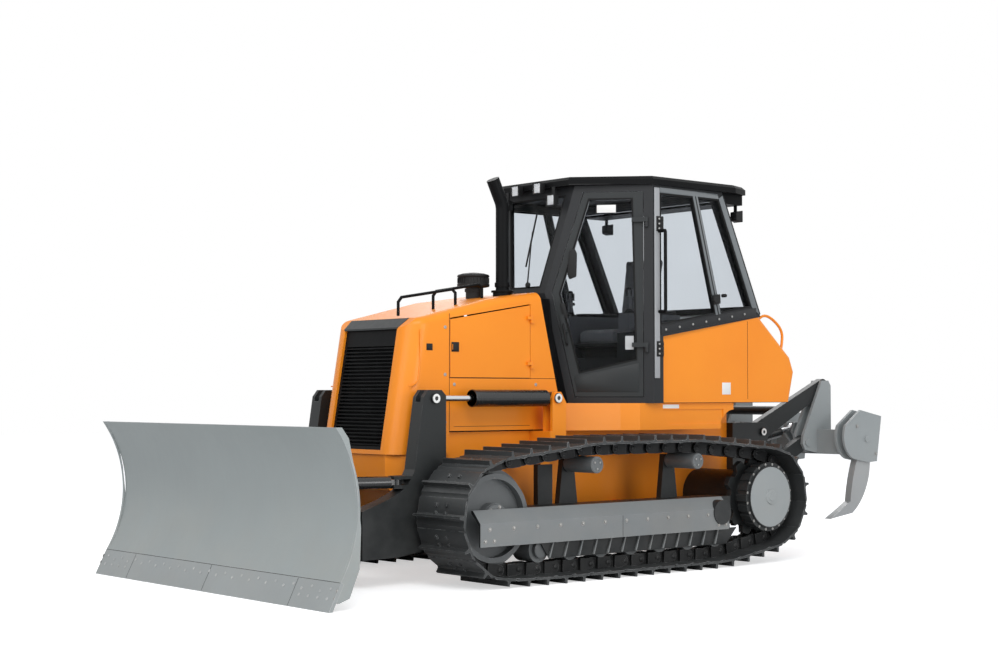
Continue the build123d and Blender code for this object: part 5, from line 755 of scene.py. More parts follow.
def track_shoe():
    """Single-bar shoe from pin to pin: plate with a rolled lip, bar and four bolt heads."""
    base, top = SHOE_LEVEL - PIN_LEVEL, SHOE_LEVEL - PIN_LEVEL + SHOE_PLATE
    bar = PITCH * 0.68
    shoe = plate("shoe", [
        (0.016, base), (PITCH - 0.010, base), (PITCH + 0.006, base - 0.005),
        (PITCH + 0.030, base - 0.007), (PITCH + 0.034, base - 0.002), (PITCH + 0.008, base + 0.004),
        (PITCH - 0.004, top), (bar + 0.019, top),
        (bar + 0.011, top + 0.007), (bar + 0.007, top + GROUSER), (bar - 0.007, top + GROUSER),
        (bar - 0.011, top + 0.007), (bar - 0.019, top), (0.012, top), (-0.001, top - 0.006),
        (-0.001, base),
    ], -SHOE_HALF, SHOE_HALF)
    head = turned("head", stood(top, (0, 0.015), (0.010, 0.015), (0.013, 0.012)), (0, 0), PLAN, 6)
    heads = [twin(head, shift(x, y, 0)) for x in (-0.054, 0.054) for y in (0.045, 0.098)]
    bpy.data.objects.remove(head)
    return joined("shoe", [shoe, *heads])


def chain_link():
    """Pair of offset side plates on a pin and its bushing."""
    parts = [
        plate("near", [(-0.032, -0.012), (-0.018, -0.034), (0.02, -0.042), (PITCH * 0.58, -0.042),
                       (PITCH * 0.58, 0.043), (0.03, 0.043), (-0.02, 0.03), (-0.034, 0.012)],
              0.028, 0.052),
        plate("far", [(PITCH * 0.42, -0.042), (PITCH - 0.02, -0.042), (PITCH + 0.018, -0.034),
                      (PITCH + 0.034, -0.010), (PITCH + 0.032, 0.014), (PITCH + 0.018, 0.032),
                      (PITCH - 0.03, 0.043), (PITCH * 0.42, 0.043)], 0.052, 0.076),
    ]
    parts += [twin(part, MIRROR) for part in parts]
    parts.append(turned("pin", [(-0.086, 0.014), (-0.083, 0.019), (0.083, 0.019), (0.086, 0.014)],
                        (0, 0), SIDE, 10))
    parts.append(turned("bushing", [(-0.03, 0.03), (0.03, 0.03)], (0, 0), SIDE, 12))
    return joined("link", parts)


def add_tracks():
    places = link_places()
    for side, turn in (("left", PLAN), ("right", MIRROR)):
        shoes = spread(f"track_shoes_{side}", track_shoe(), [turn @ place for place in places])
        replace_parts(finish(shoes, "chassis", shoe_steel), f"track_{side}")
        chain = spread(f"track_chain_{side}", chain_link(), [turn @ place for place in places])
        finish(chain, "chassis", chain_steel)


def bolt_circle(name, count, reach, centre, x, radius, height, first=0.0):
    """Heads on a circle round an axis along x, facing out on both sides."""
    head = hex_bolt(radius, height, (0, 0), SIDE)
    places = []
    for k in range(count):
        at = first + 2 * pi * k / count
        places.append(shift(x, centre[0] + reach * cos(at), centre[1] + reach * sin(at)))
    return both_sides(spread(name, head, places))


def add_undercarriage_fittings():
    face = TRACK_X + 0.205
    cover = turned("drive_hub", stood(face, (-0.004, 0.236), (0.002, 0.233), (0.004, 0.060),
                                      (0.012, 0.056), (0.014, 0.032), (0.018, 0.030),
                                      (0.018, 0.012)), SPROCKET, SIDE, 56)
    finish(both_sides(cover), "chassis", ripper_enamel)
    parts = [
        bolt_circle("drive_bolts", 20, 0.255, SPROCKET, TRACK_X + 0.188, 0.008, 0.006, pi / 20),
        bolt_circle("idler_bolts", 6, 0.080, IDLER, TRACK_X + 0.112, 0.010, 0.010, 0.26),
    ]
    for spot in CARRIERS:
        parts.append(bolt_circle("carrier_bolts", 3, 0.030, spot, TRACK_X + 0.214, 0.006, 0.005,
                                 0.5))
    # bolts of the rock guard: a row along its upper edge and pairs at its ends
    head = hex_bolt(0.011, 0.009, (0, 0), SIDE)
    row = [shift(TRACK_X + 0.212, -1.62 + 0.216 * k, 0.405) for k in range(12)]
    row += [shift(TRACK_X + 0.212, y, 0.325) for y in (-1.66, -1.58, 0.66, 0.74)]
    parts.append(both_sides(spread("guard_bolts", head, row)))
    finish(joined("undercarriage_bolts", parts), "chassis", bolt_zinc)
    # hub cap of the idler, caps of the carrier rollers and ends of the bottom rollers
    caps = [turned("idler_cap", stood(TRACK_X, (0.085, 0.100), (0.104, 0.100), (0.112, 0.092),
                                      (0.112, 0.055), (0.120, 0.050), (0.122, 0.030)),
                   IDLER, SIDE, 40)]
    for spot in CARRIERS:
        caps.append(turned("carrier_cap", stood(TRACK_X, (0.20, 0.060), (0.214, 0.054),
                                                (0.214, 0.042), (0.209, 0.040)), spot, SIDE, 28))
    first, last = ROLLER_ROW
    step = (last - first) / 6
    collar = turned("roller_end", stood(TRACK_X, (0.108, 0.062), (0.120, 0.060), (0.126, 0.046),
                                        (0.126, 0.020)), (0, 0), SIDE, 24)
    caps.append(spread("roller_ends", collar,
                       [shift(0, first + k * step, CHAIN_BASE + ROLLER_R) for k in range(7)]))
    finish(both_sides(joined("wheel_caps", caps)), "chassis", wheel_enamel)


def add_rock_guards():
    """Pale folded guard over the outer face of each track frame, with its two-piece joint."""
    guard = plate("rock_guard", [(1.2005, 0.289), (1.2035, 0.289), (1.2035, 0.446),
                                 (1.1235, 0.5325), (1.103, 0.5325), (1.103, 0.5305),
                                 (1.1225, 0.5305), (1.2005, 0.4455)], -0.775, 1.702, FRONT)
    seam = plate("guard_seam", oblong(1.2030, 1.2042, 0.292, 0.444), 0.36, 0.363, FRONT)
    finish(both_sides(guard), "chassis", carriage_enamel)
    finish(both_sides(seam), "chassis", seal_rubber)
    # guard of the bottom rollers, hung under the frame, with its slanted stiffeners
    foot = plate("roller_guard", [(-1.10, 0.291), (-1.02, 0.170), (0.82, 0.170), (0.94, 0.291)],
                 1.128, 1.134, SIDE, 0.001)
    bars = []
    for k in range(13):
        y = -1.03 + 0.142 * k
        bars.append(plate("stiffener", [(y, 0.176), (y + 0.012, 0.176), (y + 0.048, 0.288),
                                        (y + 0.036, 0.288)], 1.133, 1.150, SIDE, 0.002))
    finish(both_sides(foot), "chassis", arm_enamel)
    finish(both_sides(joined("guard_stiffeners", bars)), "chassis",
           carriage_enamel)


# ---------------------------------------------------------------- blade
def edge_spot(x, up, out):
    """Place on the blade's cutting edge: distance up from its foot, and out from its face."""
    run = Vector((0, BLADE_EDGE[0] - BLADE_FOOT[0], BLADE_EDGE[1])).normalized()
    away = Vector((0, -run.z, run.y))
    spot = Vector((x, BLADE_FOOT[0], BLADE_FOOT[1])) + run * up + away * out
    return Matrix(((1, 0, 0, spot.x), (0, run.y, away.y, spot.y), (0, run.z, away.z, spot.z),
                   (0, 0, 0, 1)))


def add_blade_fittings():
    # dished plough bolts in two staggered rows, and the seams of the three edge pieces
    head = turned("plough_bolt", [(0, 0.0105), (0.0015, 0.0105), (0.0025, 0.007), (0.0012, 0.005)],
                  (0, 0), PLAN, 14)
    places = []
    for k in range(29):
        x = -1.42 + k * 0.1014
        places.append(edge_spot(x, 0.128 if k % 2 else 0.150, 0.0))
        if abs(x) > 1.05:
            places.append(edge_spot(x, 0.085, 0.0))
    bolts = spread("edge_bolts", head, places)
    finish(bolts, "blade", shank_steel)
    seams = []
    for x in (-1.04, 0.0, 1.04):
        strip = plate("seam", oblong(-0.0015, 0.0015, 0.006, 0.190), 0, 0.0006, PLAN)
        seams.append(settle(strip, edge_spot(x, 0, 0)))
    joint = plate("seam", oblong(-BLADE_HALF + 0.004, BLADE_HALF - 0.004, -0.0015, 0.0015),
                  0, 0.0006, PLAN)
    seams.append(settle(joint, edge_spot(0, 0.1955, 0)))
    finish(joined("edge_seams", seams), "blade", seal_rubber)
    # bolts that hold the end plates to the side of the edge
    ends = hex_bolt(0.011, 0.005, (0, 0), SIDE)
    ends.data.transform(shift(BLADE_HALF - 0.0052, 0, 0))
    ends = spread("end_bolts", ends, [shift(0, y, z) for y, z in ((-3.09, 0.08), (-3.07, 0.125))])
    finish(both_sides(ends), "blade", bolt_zinc)


def pin_cap(name, spot, x, radius, body):
    """Dark pin end with a pale ring, on both sides; on ripper pins the ring is a painted highlight.
    """
    cap = turned(f"{name}_cap", stood(x, (-0.002, radius), (0.006, radius), (0.009, radius * 0.8),
                                      (0.009, radius * 0.3), (0.006, radius * 0.25)),
                 spot, SIDE, 32)
    finish(both_sides(cap), body, cylinder_enamel)
    # pale ring: a white cap on the lift cylinders' pins, a painted highlight on the ripper's pins
    band = ring(f"{name}_ring", radius * 0.90, radius * 0.42, x + 0.0085, x + 0.0115, spot)
    finish(both_sides(band), body, white_marks_and_highlight)


def add_pin_caps():
    pin_cap("tower_pin", (-1.68, 1.29), 0.690, 0.036, "c_frame")
    pin_cap("lift_pin", (-0.52, 1.29), 0.684, 0.038, "chassis")
    # on the ripper's pins the pale ring stands for a painted highlight
    pin_cap("ripper_upper_pin", (1.97, 1.0), 0.520, 0.034, "chassis")
    pin_cap("ripper_lower_pin", (1.72, 0.51), 0.520, 0.034, "chassis")
    # glands of the lift cylinders
    gland = turned("lift_gland", [(0, 0.0635), (0.020, 0.0635), (0.024, 0.057), (0.024, 0.030)],
                   (0, 0), PLAN, 40)
    gland.data.transform(rod_end_place())
    finish(both_sides(gland), "lift_barrels", cylinder_enamel)


def rod_end_place():
    """Frame at the open end of the left lift barrel, z along the rod."""
    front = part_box("lift_barrels")[0][1]
    return Matrix(((1, 0, 0, 0.62), (0, 0, -1, front + 0.024), (0, 1, 0, 1.29), (0, 0, 0, 1)))


# ---------------------------------------------------------------- hood
def add_hood_fittings():
    # paddle latches of the engine side doors
    for side, turn in (("left", PLAN), ("right", MIRROR)):
        dish = plate(f"latch_dish_{side}", oblong(-1.372, -1.302, 1.625, 1.695),
                     0.4795, 0.4835, SIDE, 0.002)
        paddle = plate(f"latch_paddle_{side}", oblong(-1.364, -1.310, 1.633, 1.687),
                       0.486, 0.4925, SIDE, 0.003)
        latch = joined(f"engine_latch_{side}", [dish, paddle])
        latch.data.transform(turn)
        if side == "right":
            latch.data.flip_normals()
        finish(latch, f"engine_door_{side}", trim_moulding)
    # seams of the nose panel and of the fixed lower panel, and their fasteners
    seams = []
    for corners in (
        oblong(-1.3925, -1.3885, 1.05, 1.90),
        oblong(-1.3885, -0.35, 1.4340, 1.4375),
        oblong(-1.35, -0.62, 1.085, 1.088),
    ):
        seams.append(plate("hood_seam", corners, 0.4797, 0.4806))
    finish(both_sides(joined("hood_seams", seams)), "chassis", seal_rubber)
    head = turned("head", [(0, 0.013), (0.003, 0.012), (0.004, 0.006)], (0, 0), SIDE, 16)
    spots = [(-1.345, 1.39), (-0.56, 1.39), (-1.43, 1.12), (-1.43, 1.80), (-1.43, 1.46),
             (-1.67, 1.10)]
    fasteners = spread("hood_screws", head, [shift(0.4798, y, z) for y, z in spots])
    finish(both_sides(fasteners), "chassis", bolt_zinc)
    # catch of the nose panel and the pressed crease below it
    catch = [plate("nose_catch", oblong(-1.60, -1.545, 1.632, 1.680), 0.4795, 0.4835, SIDE, 0.002),
             plate("nose_catch", oblong(-1.592, -1.553, 1.640, 1.672), 0.483, 0.489, SIDE, 0.003)]
    finish(both_sides(joined("nose_catch", catch)), "chassis", trim_moulding)
    crease = tube("nose_crease", [(0.4795, -1.652, 1.78), (0.4795, -1.655, 1.60),
                                  (0.4795, -1.665, 1.45), (0.4795, -1.69, 1.385),
                                  (0.4795, -1.75, 1.375)], 0.0045)
    finish(both_sides(crease), "chassis", orange_enamel)
    # black crown over the grille, on the nose's leaning face and its top bevel
    run = 0.165 / 0.97
    up = hypot(run, 1)
    lean = Matrix(((1, 0, 0, 0), (0, run / up, -1 / up, HOOD_FRONT),
                   (0, 1 / up, run / up, NOSE_FOOT), (0, 0, 0, 1)))
    low, high = (1.784 - NOSE_FOOT) * up, (1.7945 - NOSE_FOOT) * up
    face = plate("nose_crown", [(-0.322, low), (0.322, low), (0.330, high), (-0.330, high)],
                 -0.001, 0.0018, lean)
    brow_y, brow_z = HOOD_FRONT + 0.90 * run, 1.795
    rise = hypot(0.085, 0.070)
    brow = Matrix(((1, 0, 0, 0), (0, 0.085 / rise, -0.070 / rise, brow_y),
                   (0, 0.070 / rise, 0.085 / rise, brow_z), (0, 0, 0, 1)))
    crown = plate("nose_crown", [(-0.330, -0.001), (0.330, -0.001), (0.352, rise - 0.004),
                                 (-0.352, rise - 0.004)], -0.001, 0.0018, brow)
    finish(joined("nose_crown", [face, crown]), "chassis", door_enamel)


def add_pre_cleaner():
    """Dust bowl on its neck: vaned skirt, bowl and domed lid."""
    spot = (0.0, -0.77)
    base = 2.0
    neck = turned("cleaner_neck", [(base, 0.058), (2.098, 0.058), (2.098, 0.066), (2.122, 0.066),
                                   (2.122, 0.058), (2.13, 0.058)], spot, PLAN, 36)
    bowl = turned("cleaner_bowl", [(2.130, 0.085), (2.136, 0.118), (2.142, 0.124), (2.158, 0.124),
                                   (2.162, 0.118), (2.206, 0.112), (2.210, 0.122), (2.218, 0.124),
                                   (2.228, 0.118), (2.238, 0.085), (2.2445, 0.03)], spot, PLAN, 48)
    nut = turned("cleaner_nut", [(2.236, 0.014), (2.2448, 0.014)], spot, PLAN, 6)
    vane = plate("vane", [(0.108, -0.002), (0.1225, 0.004), (0.1225, 0.007), (0.108, 0.002)],
                 2.164, 2.204, PLAN)
    vanes = spread("vanes", vane, [shift(*spot, 0) @ Matrix.Rotation(2 * pi * k / 28, 4, "Z")
                                   for k in range(28)])
    cleaner = joined("pre_cleaner_bowl", [neck, bowl, nut, vanes])
    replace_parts(finish(cleaner, "chassis", trim_moulding), "pre_cleaner")


def add_stack_fittings():
    """Clamp and flange at the foot of the stack."""
    band = ring("stack_clamp", 0.058, 0.0495, 2.13, 2.165, (0.2, -0.65), PLAN, 40)
    flange = ring("stack_flange", 0.085, 0.0495, 2.090, 2.104, (0.2, -0.65), PLAN, 40)
    finish(joined("stack_bands", [band, flange]), "chassis", black_enamel)


# ---------------------------------------------------------------- cab
DOOR_LEN = hypot(DOOR_SLOPE, 1.0)
DOOR_FACE = Matrix(((DOOR_SLOPE / DOOR_LEN, 0, 1 / DOOR_LEN, DOOR_CORNER[0]),
                    (1 / DOOR_LEN, 0, -DOOR_SLOPE / DOOR_LEN, DOOR_CORNER[1]),
                    (0, 1, 0, 0), (0, 0, 0, 1)))
WALL_RUN, WALL_IN = 1.275, 0.03     # the side wall draws in a little towards its rear
LEAN = hypot(WALL_IN, WALL_RUN)
WALL_FACE = Matrix(((-WALL_IN / LEAN, 0, WALL_RUN / LEAN, DOOR_CORNER[0]),
                    (WALL_RUN / LEAN, 0, WALL_IN / LEAN, DOOR_CORNER[1]),
                    (0, 1, 0, 0), (0, 0, 0, 1)))


def door_corners(corners):
    """Outline given as distance ahead of the hinge pillar, turned into the door's own plane."""
    return [(-ahead, z) for ahead, z in corners]


def wall_corners(corners):
    """Outline of (y, z) corners in the plane of the cab's side wall."""
    return [((y - DOOR_CORNER[1]) * LEAN / WALL_RUN, z) for y, z in corners]


def on_both(name, piece, bodies, paint):
    """Left piece and its mirrored twin, each on its own body."""
    other = twin(piece, MIRROR)
    other.name = f"{name}_right"
    piece.name = f"{name}_left"
    finish(piece, bodies[0], paint)
    finish(other, bodies[1], paint)


DOORS = ("door_left", "door_right")


def on_door(name, corners, low, high, bevel=0.0):
    """Plate on the left door, from distances ahead of its hinge pillar."""
    return plate(name, door_corners(corners), low, high, DOOR_FACE, bevel)


def on_wall(name, corners, low, high, bevel=0.0):
    """Plate on the left wall of the cab, from (y, z) corners."""
    return plate(name, wall_corners(corners), low, high, WALL_FACE, bevel)


def add_doors():
    seal = rim("door_seal", door_corners(PANE), 0.014, -0.022, 0.003, DOOR_FACE, 0.002)
    on_both("door_seal", seal, DOORS, seal_rubber)
    # pressed lower panel and the grip inside its edge
    pad = on_door("door_panel", [(0.11, 1.335), (0.585, 1.335), (0.607, 1.455), (0.11, 1.555)],
                  -0.001, 0.004, 0.003)
    on_both("door_panel", pad, DOORS, door_enamel)
    lock = on_door("door_lock", [(0.652, 1.90), (0.690, 1.90), (0.716, 2.02), (0.678, 2.02)],
                   0.002, 0.020, 0.004)
    grip = tube("door_grip", [DOOR_FACE @ Vector((-a, z, o)) for a, z, o in (
        (0.660, 1.70, 0.0), (0.660, 1.70, 0.032), (0.668, 1.74, 0.036), (0.684, 1.82, 0.036),
        (0.690, 1.86, 0.032), (0.690, 1.86, 0.0))], 0.008)
    on_both("door_handle", joined("door_handle", [lock, grip]), DOORS,
            trim_moulding)
    # mirror on its bracket at the front stile
    head = on_door("mirror", [(0.585, 2.22), (0.640, 2.20), (0.655, 2.24), (0.640, 2.42),
                              (0.600, 2.44), (0.580, 2.40)], 0.022, 0.050, 0.008)
    stem = tube("mirror_stem", [DOOR_FACE @ Vector((-a, z, o)) for a, z, o in (
        (0.655, 2.30, -0.005), (0.650, 2.30, 0.022), (0.635, 2.31, 0.034), (0.620, 2.31, 0.036))],
        0.007)
    on_both("door_mirror", joined("door_mirror", [head, stem]), DOORS,
            trim_moulding)
    # blank plates: a white one high in the pane, a grey one low in it
    high = on_door("door_plate", oblong(0.285, 0.432, 2.715, 2.775), -0.0145, -0.0125, 0.0008)
    on_both("door_plate", high, DOORS, white_marks_and_highlight)
    low = on_door("pane_label", oblong(0.150, 0.215, 1.66, 1.765), -0.0148, -0.0135)
    on_both("pane_label", low, DOORS, label_grey)


def add_hinge_blocks():
    """Three dark lobes with a pale screw each, on the pillar at either hinge."""
    blocks, screws = [], []
    for z in (1.66, 2.62):
        blocks.append(plate("block", oblong(0.028, 0.108, z - 0.055, z + 0.065),
                            -0.002, 0.014, WALL_FACE, 0.005))
        for k in range(3):
            lobe = oblong(0.036, 0.100, z - 0.044 + 0.037 * k, z - 0.020 + 0.037 * k)
            blocks.append(plate("rib", lobe, 0.010, 0.022, WALL_FACE, 0.004))
            screws.append(turned("screw", [(0.020, 0.008), (0.027, 0.008), (0.029, 0.005)],
                                 (0.046, z - 0.032 + 0.037 * k), WALL_FACE, 12))
    finish(both_sides(joined("hinge_blocks", blocks)), "chassis", trim_moulding)
    finish(both_sides(joined("hinge_screws", screws)), "chassis", bolt_zinc)


def add_cab_walls():
    # rounded pale cover of the hinge pillar
    cover = plate("pillar_cover", oblong(0.014, 0.070, 1.44, 2.905),
                  -0.002, 0.010, WALL_FACE, 0.006, 3)
    finish(both_sides(cover), "chassis", pillar_enamel)
    seals = [rim("pane_seal", wall_corners(corners), 0.012, -0.020, 0.003, WALL_FACE, 0.002)
             for corners in SIDE_PANES]
    divider = on_wall("divider", [(1.008, 1.944), (1.064, 1.953), (0.794, 2.872),
                                  (0.738, 2.872)], -0.001, 0.007, 0.003)
    post = on_wall("rear_post", [(1.450, 2.018), (1.550, 1.958), (1.096, 2.905), (1.048, 2.872)],
                   -0.001, 0.006, 0.002)
    header = on_wall("header", [(0.36, 2.868), (1.046, 2.868), (1.030, 2.908), (0.36, 2.908)],
                     -0.001, 0.006, 0.002)
    finish(both_sides(joined("glazing_border", [divider, post, header])), "chassis",
           glazing_grey)
    joint = on_wall("joint", [(1.031, 1.949), (1.041, 1.951), (0.771, 2.868), (0.761, 2.868)],
                    0.0065, 0.0085)
    edge = on_wall("edge", [(1.541, 1.966), (1.552, 1.966), (1.100, 2.905), (1.089, 2.905)],
                   0.0055, 0.0080)
    finish(both_sides(joined("window_seals", [*seals, joint, edge])), "chassis",
           seal_rubber)
    # sill strip with its bolts, along the foot of the side windows
    strip = on_wall("sill_strip", [(0.37, 1.775), (1.50, 1.948), (1.50, 2.018), (0.37, 1.840)],
                    -0.001, 0.008, 0.003)
    finish(both_sides(strip), "chassis", cab_enamel)
    spots = wall_corners([(0.42 + 0.155 * k, 1.815 + 0.0243 * k) for k in range(7)])
    screws = [turned("screw", [(0.007, 0.010), (0.013, 0.009), (0.015, 0.004)], spot, WALL_FACE, 10)
              for spot in spots]
    finish(both_sides(joined("sill_screws", screws)), "chassis", bolt_zinc)
    # catch of the sliding pane at the foot of the divider
    catch = [on_wall("catch", [(0.95, 2.02), (1.035, 2.035), (1.030, 2.11), (0.945, 2.095)],
                     0.004, 0.034, 0.006),
             turned("knob", [(0.030, 0.024), (0.048, 0.024), (0.054, 0.018)],
                    wall_corners([(0.955, 2.062)])[0], WALL_FACE, 18),
             turned("knob", [(0.004, 0.014), (0.040, 0.014), (0.046, 0.010)],
                    wall_corners([(1.085, 2.10)])[0], WALL_FACE, 14)]
    finish(both_sides(joined("window_catch", catch)), "chassis", trim_moulding)


def add_windscreen():
    low, high = KNEE_Z + 0.045, CAB_TOP - 0.065
    tilt = atan2(PANE_RUN, CAB_TOP - KNEE_Z)
    face = shift(0, KNEE_Y, KNEE_Z) @ Matrix.Rotation(-tilt, 4, "X") @ FRONT
    reach = (high - low) / cos(tilt)
    foot = 0.045 / cos(tilt)

    def half(z):
        nose_y = KNEE_Y + PANE_RUN * (z - KNEE_Z) / (CAB_TOP - KNEE_Z)
        return DOOR_CORNER[0] - (DOOR_CORNER[1] - nose_y) * DOOR_SLOPE - 0.072

    corners = [(-half(low), foot), (half(low), foot), (half(high), foot + reach),
               (-half(high), foot + reach)]
    finish(rim("windscreen_seal", corners, 0.012, -0.020, 0.003, face, 0.002), "chassis",
           seal_rubber)
    arm = plate("wiper_arm", [(0.028, 0.075), (0.042, 0.075), (0.012, 0.50), (0.004, 0.50)],
                0.010, 0.016, face, 0.002)
    hub = turned("wiper_hub", [(0.0, 0.022), (0.016, 0.022), (0.020, 0.016)],
                 (0.035, 0.07), face, 20)
    blade = plate("wiper_blade", [(-0.030, 0.22), (-0.020, 0.22), (0.030, 0.68), (0.020, 0.68)],
                  -0.004, 0.008, face, 0.002)
    finish(joined("windscreen_wiper", [arm, hub, blade]), "chassis", trim_moulding)


def light_unit(depth):
    """Square work light: bevelled body, recessed front, facing -y about its own centre."""
    half = 0.0475
    bpy.ops.object.select_all(action="DESELECT")
    bpy.ops.mesh.primitive_cube_add(size=1, location=(0, depth / 2, 0),
                                    scale=(2 * half, depth, 2 * half))
    shell = bpy.context.object
    bpy.ops.object.transform_apply(location=True, rotation=True, scale=True)
    edit(shell)
    pick(shell, lambda f: f.normal.y > 0.9)
    bpy.ops.transform.resize(value=(0.72, 1, 0.72), center_override=(0, depth, 0))
    pick(shell, lambda f: f.normal.y < -0.9)
    bpy.ops.mesh.inset(thickness=0.007)
    bpy.ops.mesh.extrude_region_move(TRANSFORM_OT_translate={"value": (0, 0.010, 0)})
    bpy.ops.transform.resize(value=(0.92, 1, 0.92), center_override=(0, 0, 0))
    pick(shell, lambda e: e.calc_face_angle(0) > 0.6 and e.calc_length() > 0.03, "edges")
    bpy.ops.mesh.bevel(offset=0.003, segments=2, affect="EDGES")
    return leave(shell)


def add_work_lights():
    shells, lenses, mirrors = [], [], []
    shell = light_unit(0.062)
    lens = plate("lens", oblong(-0.037, 0.037, -0.037, 0.037), -0.0065, -0.0015, FRONT, 0.0015)
    bowl = plate("bowl", oblong(-0.036, 0.036, -0.036, 0.036), -0.0100, -0.0085, FRONT, 0.0005)
    for x, y, z, turn, foot, top, near in (
        (0.27, -0.226, 2.82, 0, 0.03, CAB_TOP - 2.82, -0.046),
        (-0.27, -0.226, 2.82, 0, 0.03, CAB_TOP - 2.82, -0.046),
        (0.13, -0.241, 2.9225, 0, -0.012, 0.022, -0.066),
        (-0.13, -0.241, 2.9225, 0, -0.012, 0.022, -0.066),
        (0.75, 1.412, 2.76, pi, 0.03, CAB_TOP - 0.08 - 2.76, -0.044),
        (-0.75, 1.412, 2.76, pi, 0.03, CAB_TOP - 0.08 - 2.76, -0.044),
    ):
        place = shift(x, y, z) @ Matrix.Rotation(turn, 4, "Z")
        shells.append(twin(shell, place))
        lenses.append(twin(lens, place))
        mirrors.append(twin(bowl, place))
        bracket = plate("bracket", oblong(-0.014, 0.014, foot, top),
                        near, near + 0.012, FRONT, 0.001)
        shells.append(twin(bracket, place))
        bpy.data.objects.remove(bracket)
    for pattern in (shell, lens, bowl):
        bpy.data.objects.remove(pattern)
    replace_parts(finish(joined("light_housings", shells), "chassis", trim_moulding),
                "work_lights")
    finish(joined("light_reflectors", mirrors), "chassis", lamp_reflector)
    finish(joined("light_lenses", lenses), "chassis", lamp_lens)


def add_roof():
    """Stub of the aerial, and the gutter lip under the roof's edge."""
    mast = turned("antenna", [(2.986, 0.016), (2.990, 0.016)], (0.62, 0.25), PLAN, 16)
    finish(mast, "chassis", trim_moulding)
    lip = plate("roof_lip", [(-0.43, -0.172), (0.43, -0.172), (0.900, 0.262), (0.900, 1.203),
                             (0.835, 1.390), (-0.835, 1.390), (-0.900, 1.203), (-0.900, 0.262)],
                2.9255, 2.934, PLAN, 0.003)
    finish(lip, "chassis", trim_moulding)


def add_grab_bars():
    """Upright bars behind the door hinges, and the orange loops over the tank."""
    y, low, high = 0.345, 1.95, 2.57
    bar = tube("grab_bar", [(0.872, y, low), (0.94, y, low), (0.955, y, low),
                            (0.955, y, low + 0.05), (0.955, y, high - 0.05), (0.955, y, high),
                            (0.94, y, high), (0.872, y, high)], 0.0135, 4)
    feet = [turned("foot", [(0.874, 0.026), (0.884, 0.026), (0.888, 0.018)], (y, z), SIDE, 20)
            for z in (low, high)]
    bars = both_sides(joined("grab_bars", [bar, *feet]))
    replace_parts(finish(bars, "chassis", black_enamel), "grab_handles")
    loop = tube("tank_loop", [(0.73, 1.60, 1.88), (0.73, 1.66, 1.93), (0.73, 1.75, 1.975),
                              (0.73, 1.87, 1.93), (0.73, 1.975, 1.84), (0.73, 1.965, 1.72),
                              (0.73, 1.93, 1.60)], 0.0115, 4)
    finish(both_sides(loop), "chassis", orange_enamel)


# ---------------------------------------------------------------- rear body and fenders
def add_body_fittings():
    """Seams, blank plates, fuel cap and tail lamps of the rear body."""
    seams = [plate("body_seam", oblong(1.398, 1.402, 1.28, 1.905), 0.8497, 0.8506),
             plate("body_seam", oblong(0.42, 1.90, 1.2497, 1.2532), 0.8497, 0.8504)]
    finish(both_sides(joined("body_seams", seams)), "chassis", seal_rubber)
    # blank plates where the machine carries stickers
    for name, shape, low in (("tank_tags", oblong(1.095, 1.195, 1.315, 1.410), 0.8497),
                             ("fender_tag", oblong(0.44, 0.62, 1.208, 1.238), 0.8297)):
        tag = plate(name, shape, low, low + 0.0013, SIDE, 0.0006)
        finish(both_sides(tag), "chassis", white_marks_and_highlight)
    # fuel cap on the tank's top, tail lamps at its back
    cap = turned("fuel_cap", [(1.80, 0.055), (1.833, 0.055), (1.842, 0.048), (1.842, 0.020)],
                 (-0.40, 1.78), PLAN, 24)
    finish(cap, "chassis", trim_moulding)
    lamp = plate("tail_lamp", oblong(-0.05, 0.05, -0.035, 0.035), -0.004, 0.020, FRONT, 0.006)
    lamp.data.transform(shift(0.70, 1.945, 1.50) @ Matrix.Rotation(pi, 4, "Z")
                        @ Matrix.Rotation(radians(-22), 4, "X"))
    finish(both_sides(lamp), "chassis", signal_red)


# ---------------------------------------------------------------- ripper
def add_ripper_fittings():
    heads = []
    for x in (-0.8, 0.0, 0.8):
        for side in (-1, 1):
            face = x + side * (0.031 + 0.022 + 0.0005)
            for y, z in ((2.80, 1.04), (3.06, 0.80)):
                head = hex_bolt(0.012, 0.008, (0, 0), SIDE)
                head.data.transform(shift(0, y, z))
                if side < 0:
                    head.data.transform(MIRROR)
                    head.data.flip_normals()
                head.data.transform(shift(face, 0, 0))
                heads.append(head)
    finish(joined("pocket_bolts", heads), "ripper_beam", bolt_zinc)


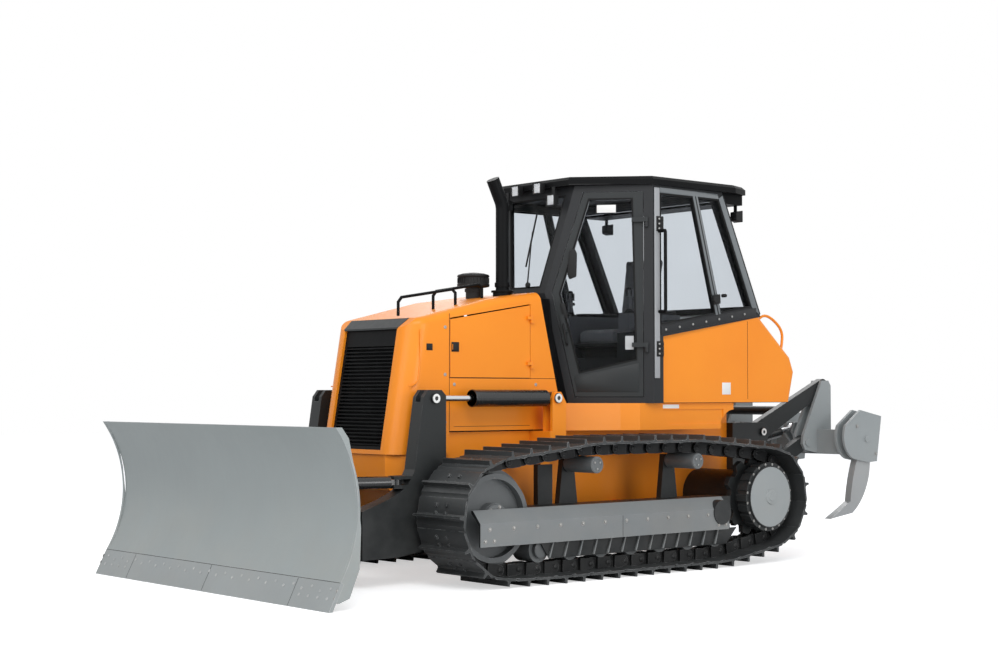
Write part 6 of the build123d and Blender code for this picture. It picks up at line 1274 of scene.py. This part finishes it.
# ---------------------------------------------------------------- seat and controls
def cushion(name, corners, low, high):
    """Foam pad from a side outline: remeshed, filled by pressure in a short cloth run,
    then smoothed."""
    pad = plate(name, corners, low, high, SIDE, 0.022, 3)
    shape = pad.modifiers.new("even", "REMESH")
    shape.mode = "VOXEL"
    shape.voxel_size = 0.0075
    alone(pad)
    bpy.ops.object.modifier_apply(modifier=shape.name)
    rest = [vert.co.copy() for vert in pad.data.vertices]
    soft = pad.modifiers.new("filled", "CLOTH")
    soft.settings.quality = 5
    soft.settings.mass = 0.2
    soft.settings.tension_stiffness = 12
    soft.settings.compression_stiffness = 12
    soft.settings.use_pressure = True
    soft.settings.uniform_pressure_force = 4
    soft.settings.effector_weights.gravity = 0
    soft.point_cache.frame_start = 1
    soft.point_cache.frame_end = 20
    for step in range(1, 21):
        bpy.context.scene.frame_set(step)
    shaped = pad.evaluated_get(bpy.context.evaluated_depsgraph_get()).data
    moved = [vert.co.copy() for vert in shaped.vertices]
    pad.modifiers.remove(soft)
    bpy.context.scene.frame_set(1)
    for vert, home, there in zip(pad.data.vertices, rest, moved):
        way = there - home
        if way.length > 0.022:
            way = way.normalized() * 0.022
        vert.co = home + way
    ease = pad.modifiers.new("eased", "SMOOTH")
    ease.iterations = 3
    bpy.ops.object.modifier_apply(modifier=ease.name)
    fine = pad.modifiers.new("fine", "SUBSURF")
    fine.levels = 1
    fine.render_levels = 1
    bpy.ops.object.modifier_apply(modifier=fine.name)
    finish(pad, "chassis", seat_cloth, 80)
    return pad


def add_seat():
    cushion("seat_cushion", [(0.515, 1.735), (0.985, 1.725), (0.985, 1.810), (0.515, 1.822)],
            -0.225, 0.225)
    cushion("seat_back", [(0.975, 1.850), (1.045, 1.850), (1.110, 2.440), (1.060, 2.455)],
            -0.215, 0.215)
    pan = plate("seat_pan", [(0.51, 1.700), (1.0, 1.695), (1.0, 1.722), (0.51, 1.730)],
                -0.235, 0.235, SIDE, 0.006)
    post = plate("seat_post", oblong(0.56, 0.94, 1.606, 1.700), -0.185, 0.185, SIDE, 0.012)
    folds = [plate("fold", oblong(0.548, 0.952, z, z + 0.014),
                   -0.198, 0.198, SIDE, 0.005) for z in (1.622, 1.648, 1.674)]
    seat_frame = joined("seat_suspension", [pan, post, *folds])
    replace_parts(finish(seat_frame, "chassis", trim_moulding), "seat")


def add_controls():
    """Grips and boots on the two levers, and the arm pads behind them; the console's solid stays.
    """
    parts = []
    for side in (-1, 1):
        grip = turned("lever_grip", [(2.085, 0.016), (2.10, 0.026), (2.14, 0.027), (2.165, 0.022),
                                     (2.172, 0.010)], (side * 0.345, 0.56), PLAN, 20)
        boot = turned("lever_boot", [(1.959, 0.052), (1.972, 0.046), (1.972, 0.038),
                                     (1.984, 0.034), (1.984, 0.028), (1.996, 0.024)],
                      (side * 0.345, 0.56), PLAN, 20)
        pad = plate("arm_pad", [(0.66, 1.958), (1.06, 1.958), (1.06, 1.995), (0.66, 1.985)],
                    side * 0.345 - 0.05, side * 0.345 + 0.05, SIDE, 0.012, 3)
        parts += [grip, boot, pad]
    finish(joined("control_levers", parts), "chassis", trim_moulding)


set_camera()
add_tracks()
add_undercarriage_fittings()
add_rock_guards()
add_blade_fittings()
add_pin_caps()
add_hood_fittings()
add_pre_cleaner()
add_stack_fittings()
add_doors()
add_hinge_blocks()
add_cab_walls()
add_windscreen()
add_work_lights()
add_roof()
add_grab_bars()
add_body_fittings()
add_ripper_fittings()
add_seat()
add_controls()
set_stage()
bpy.ops.object.select_all(action="DESELECT")
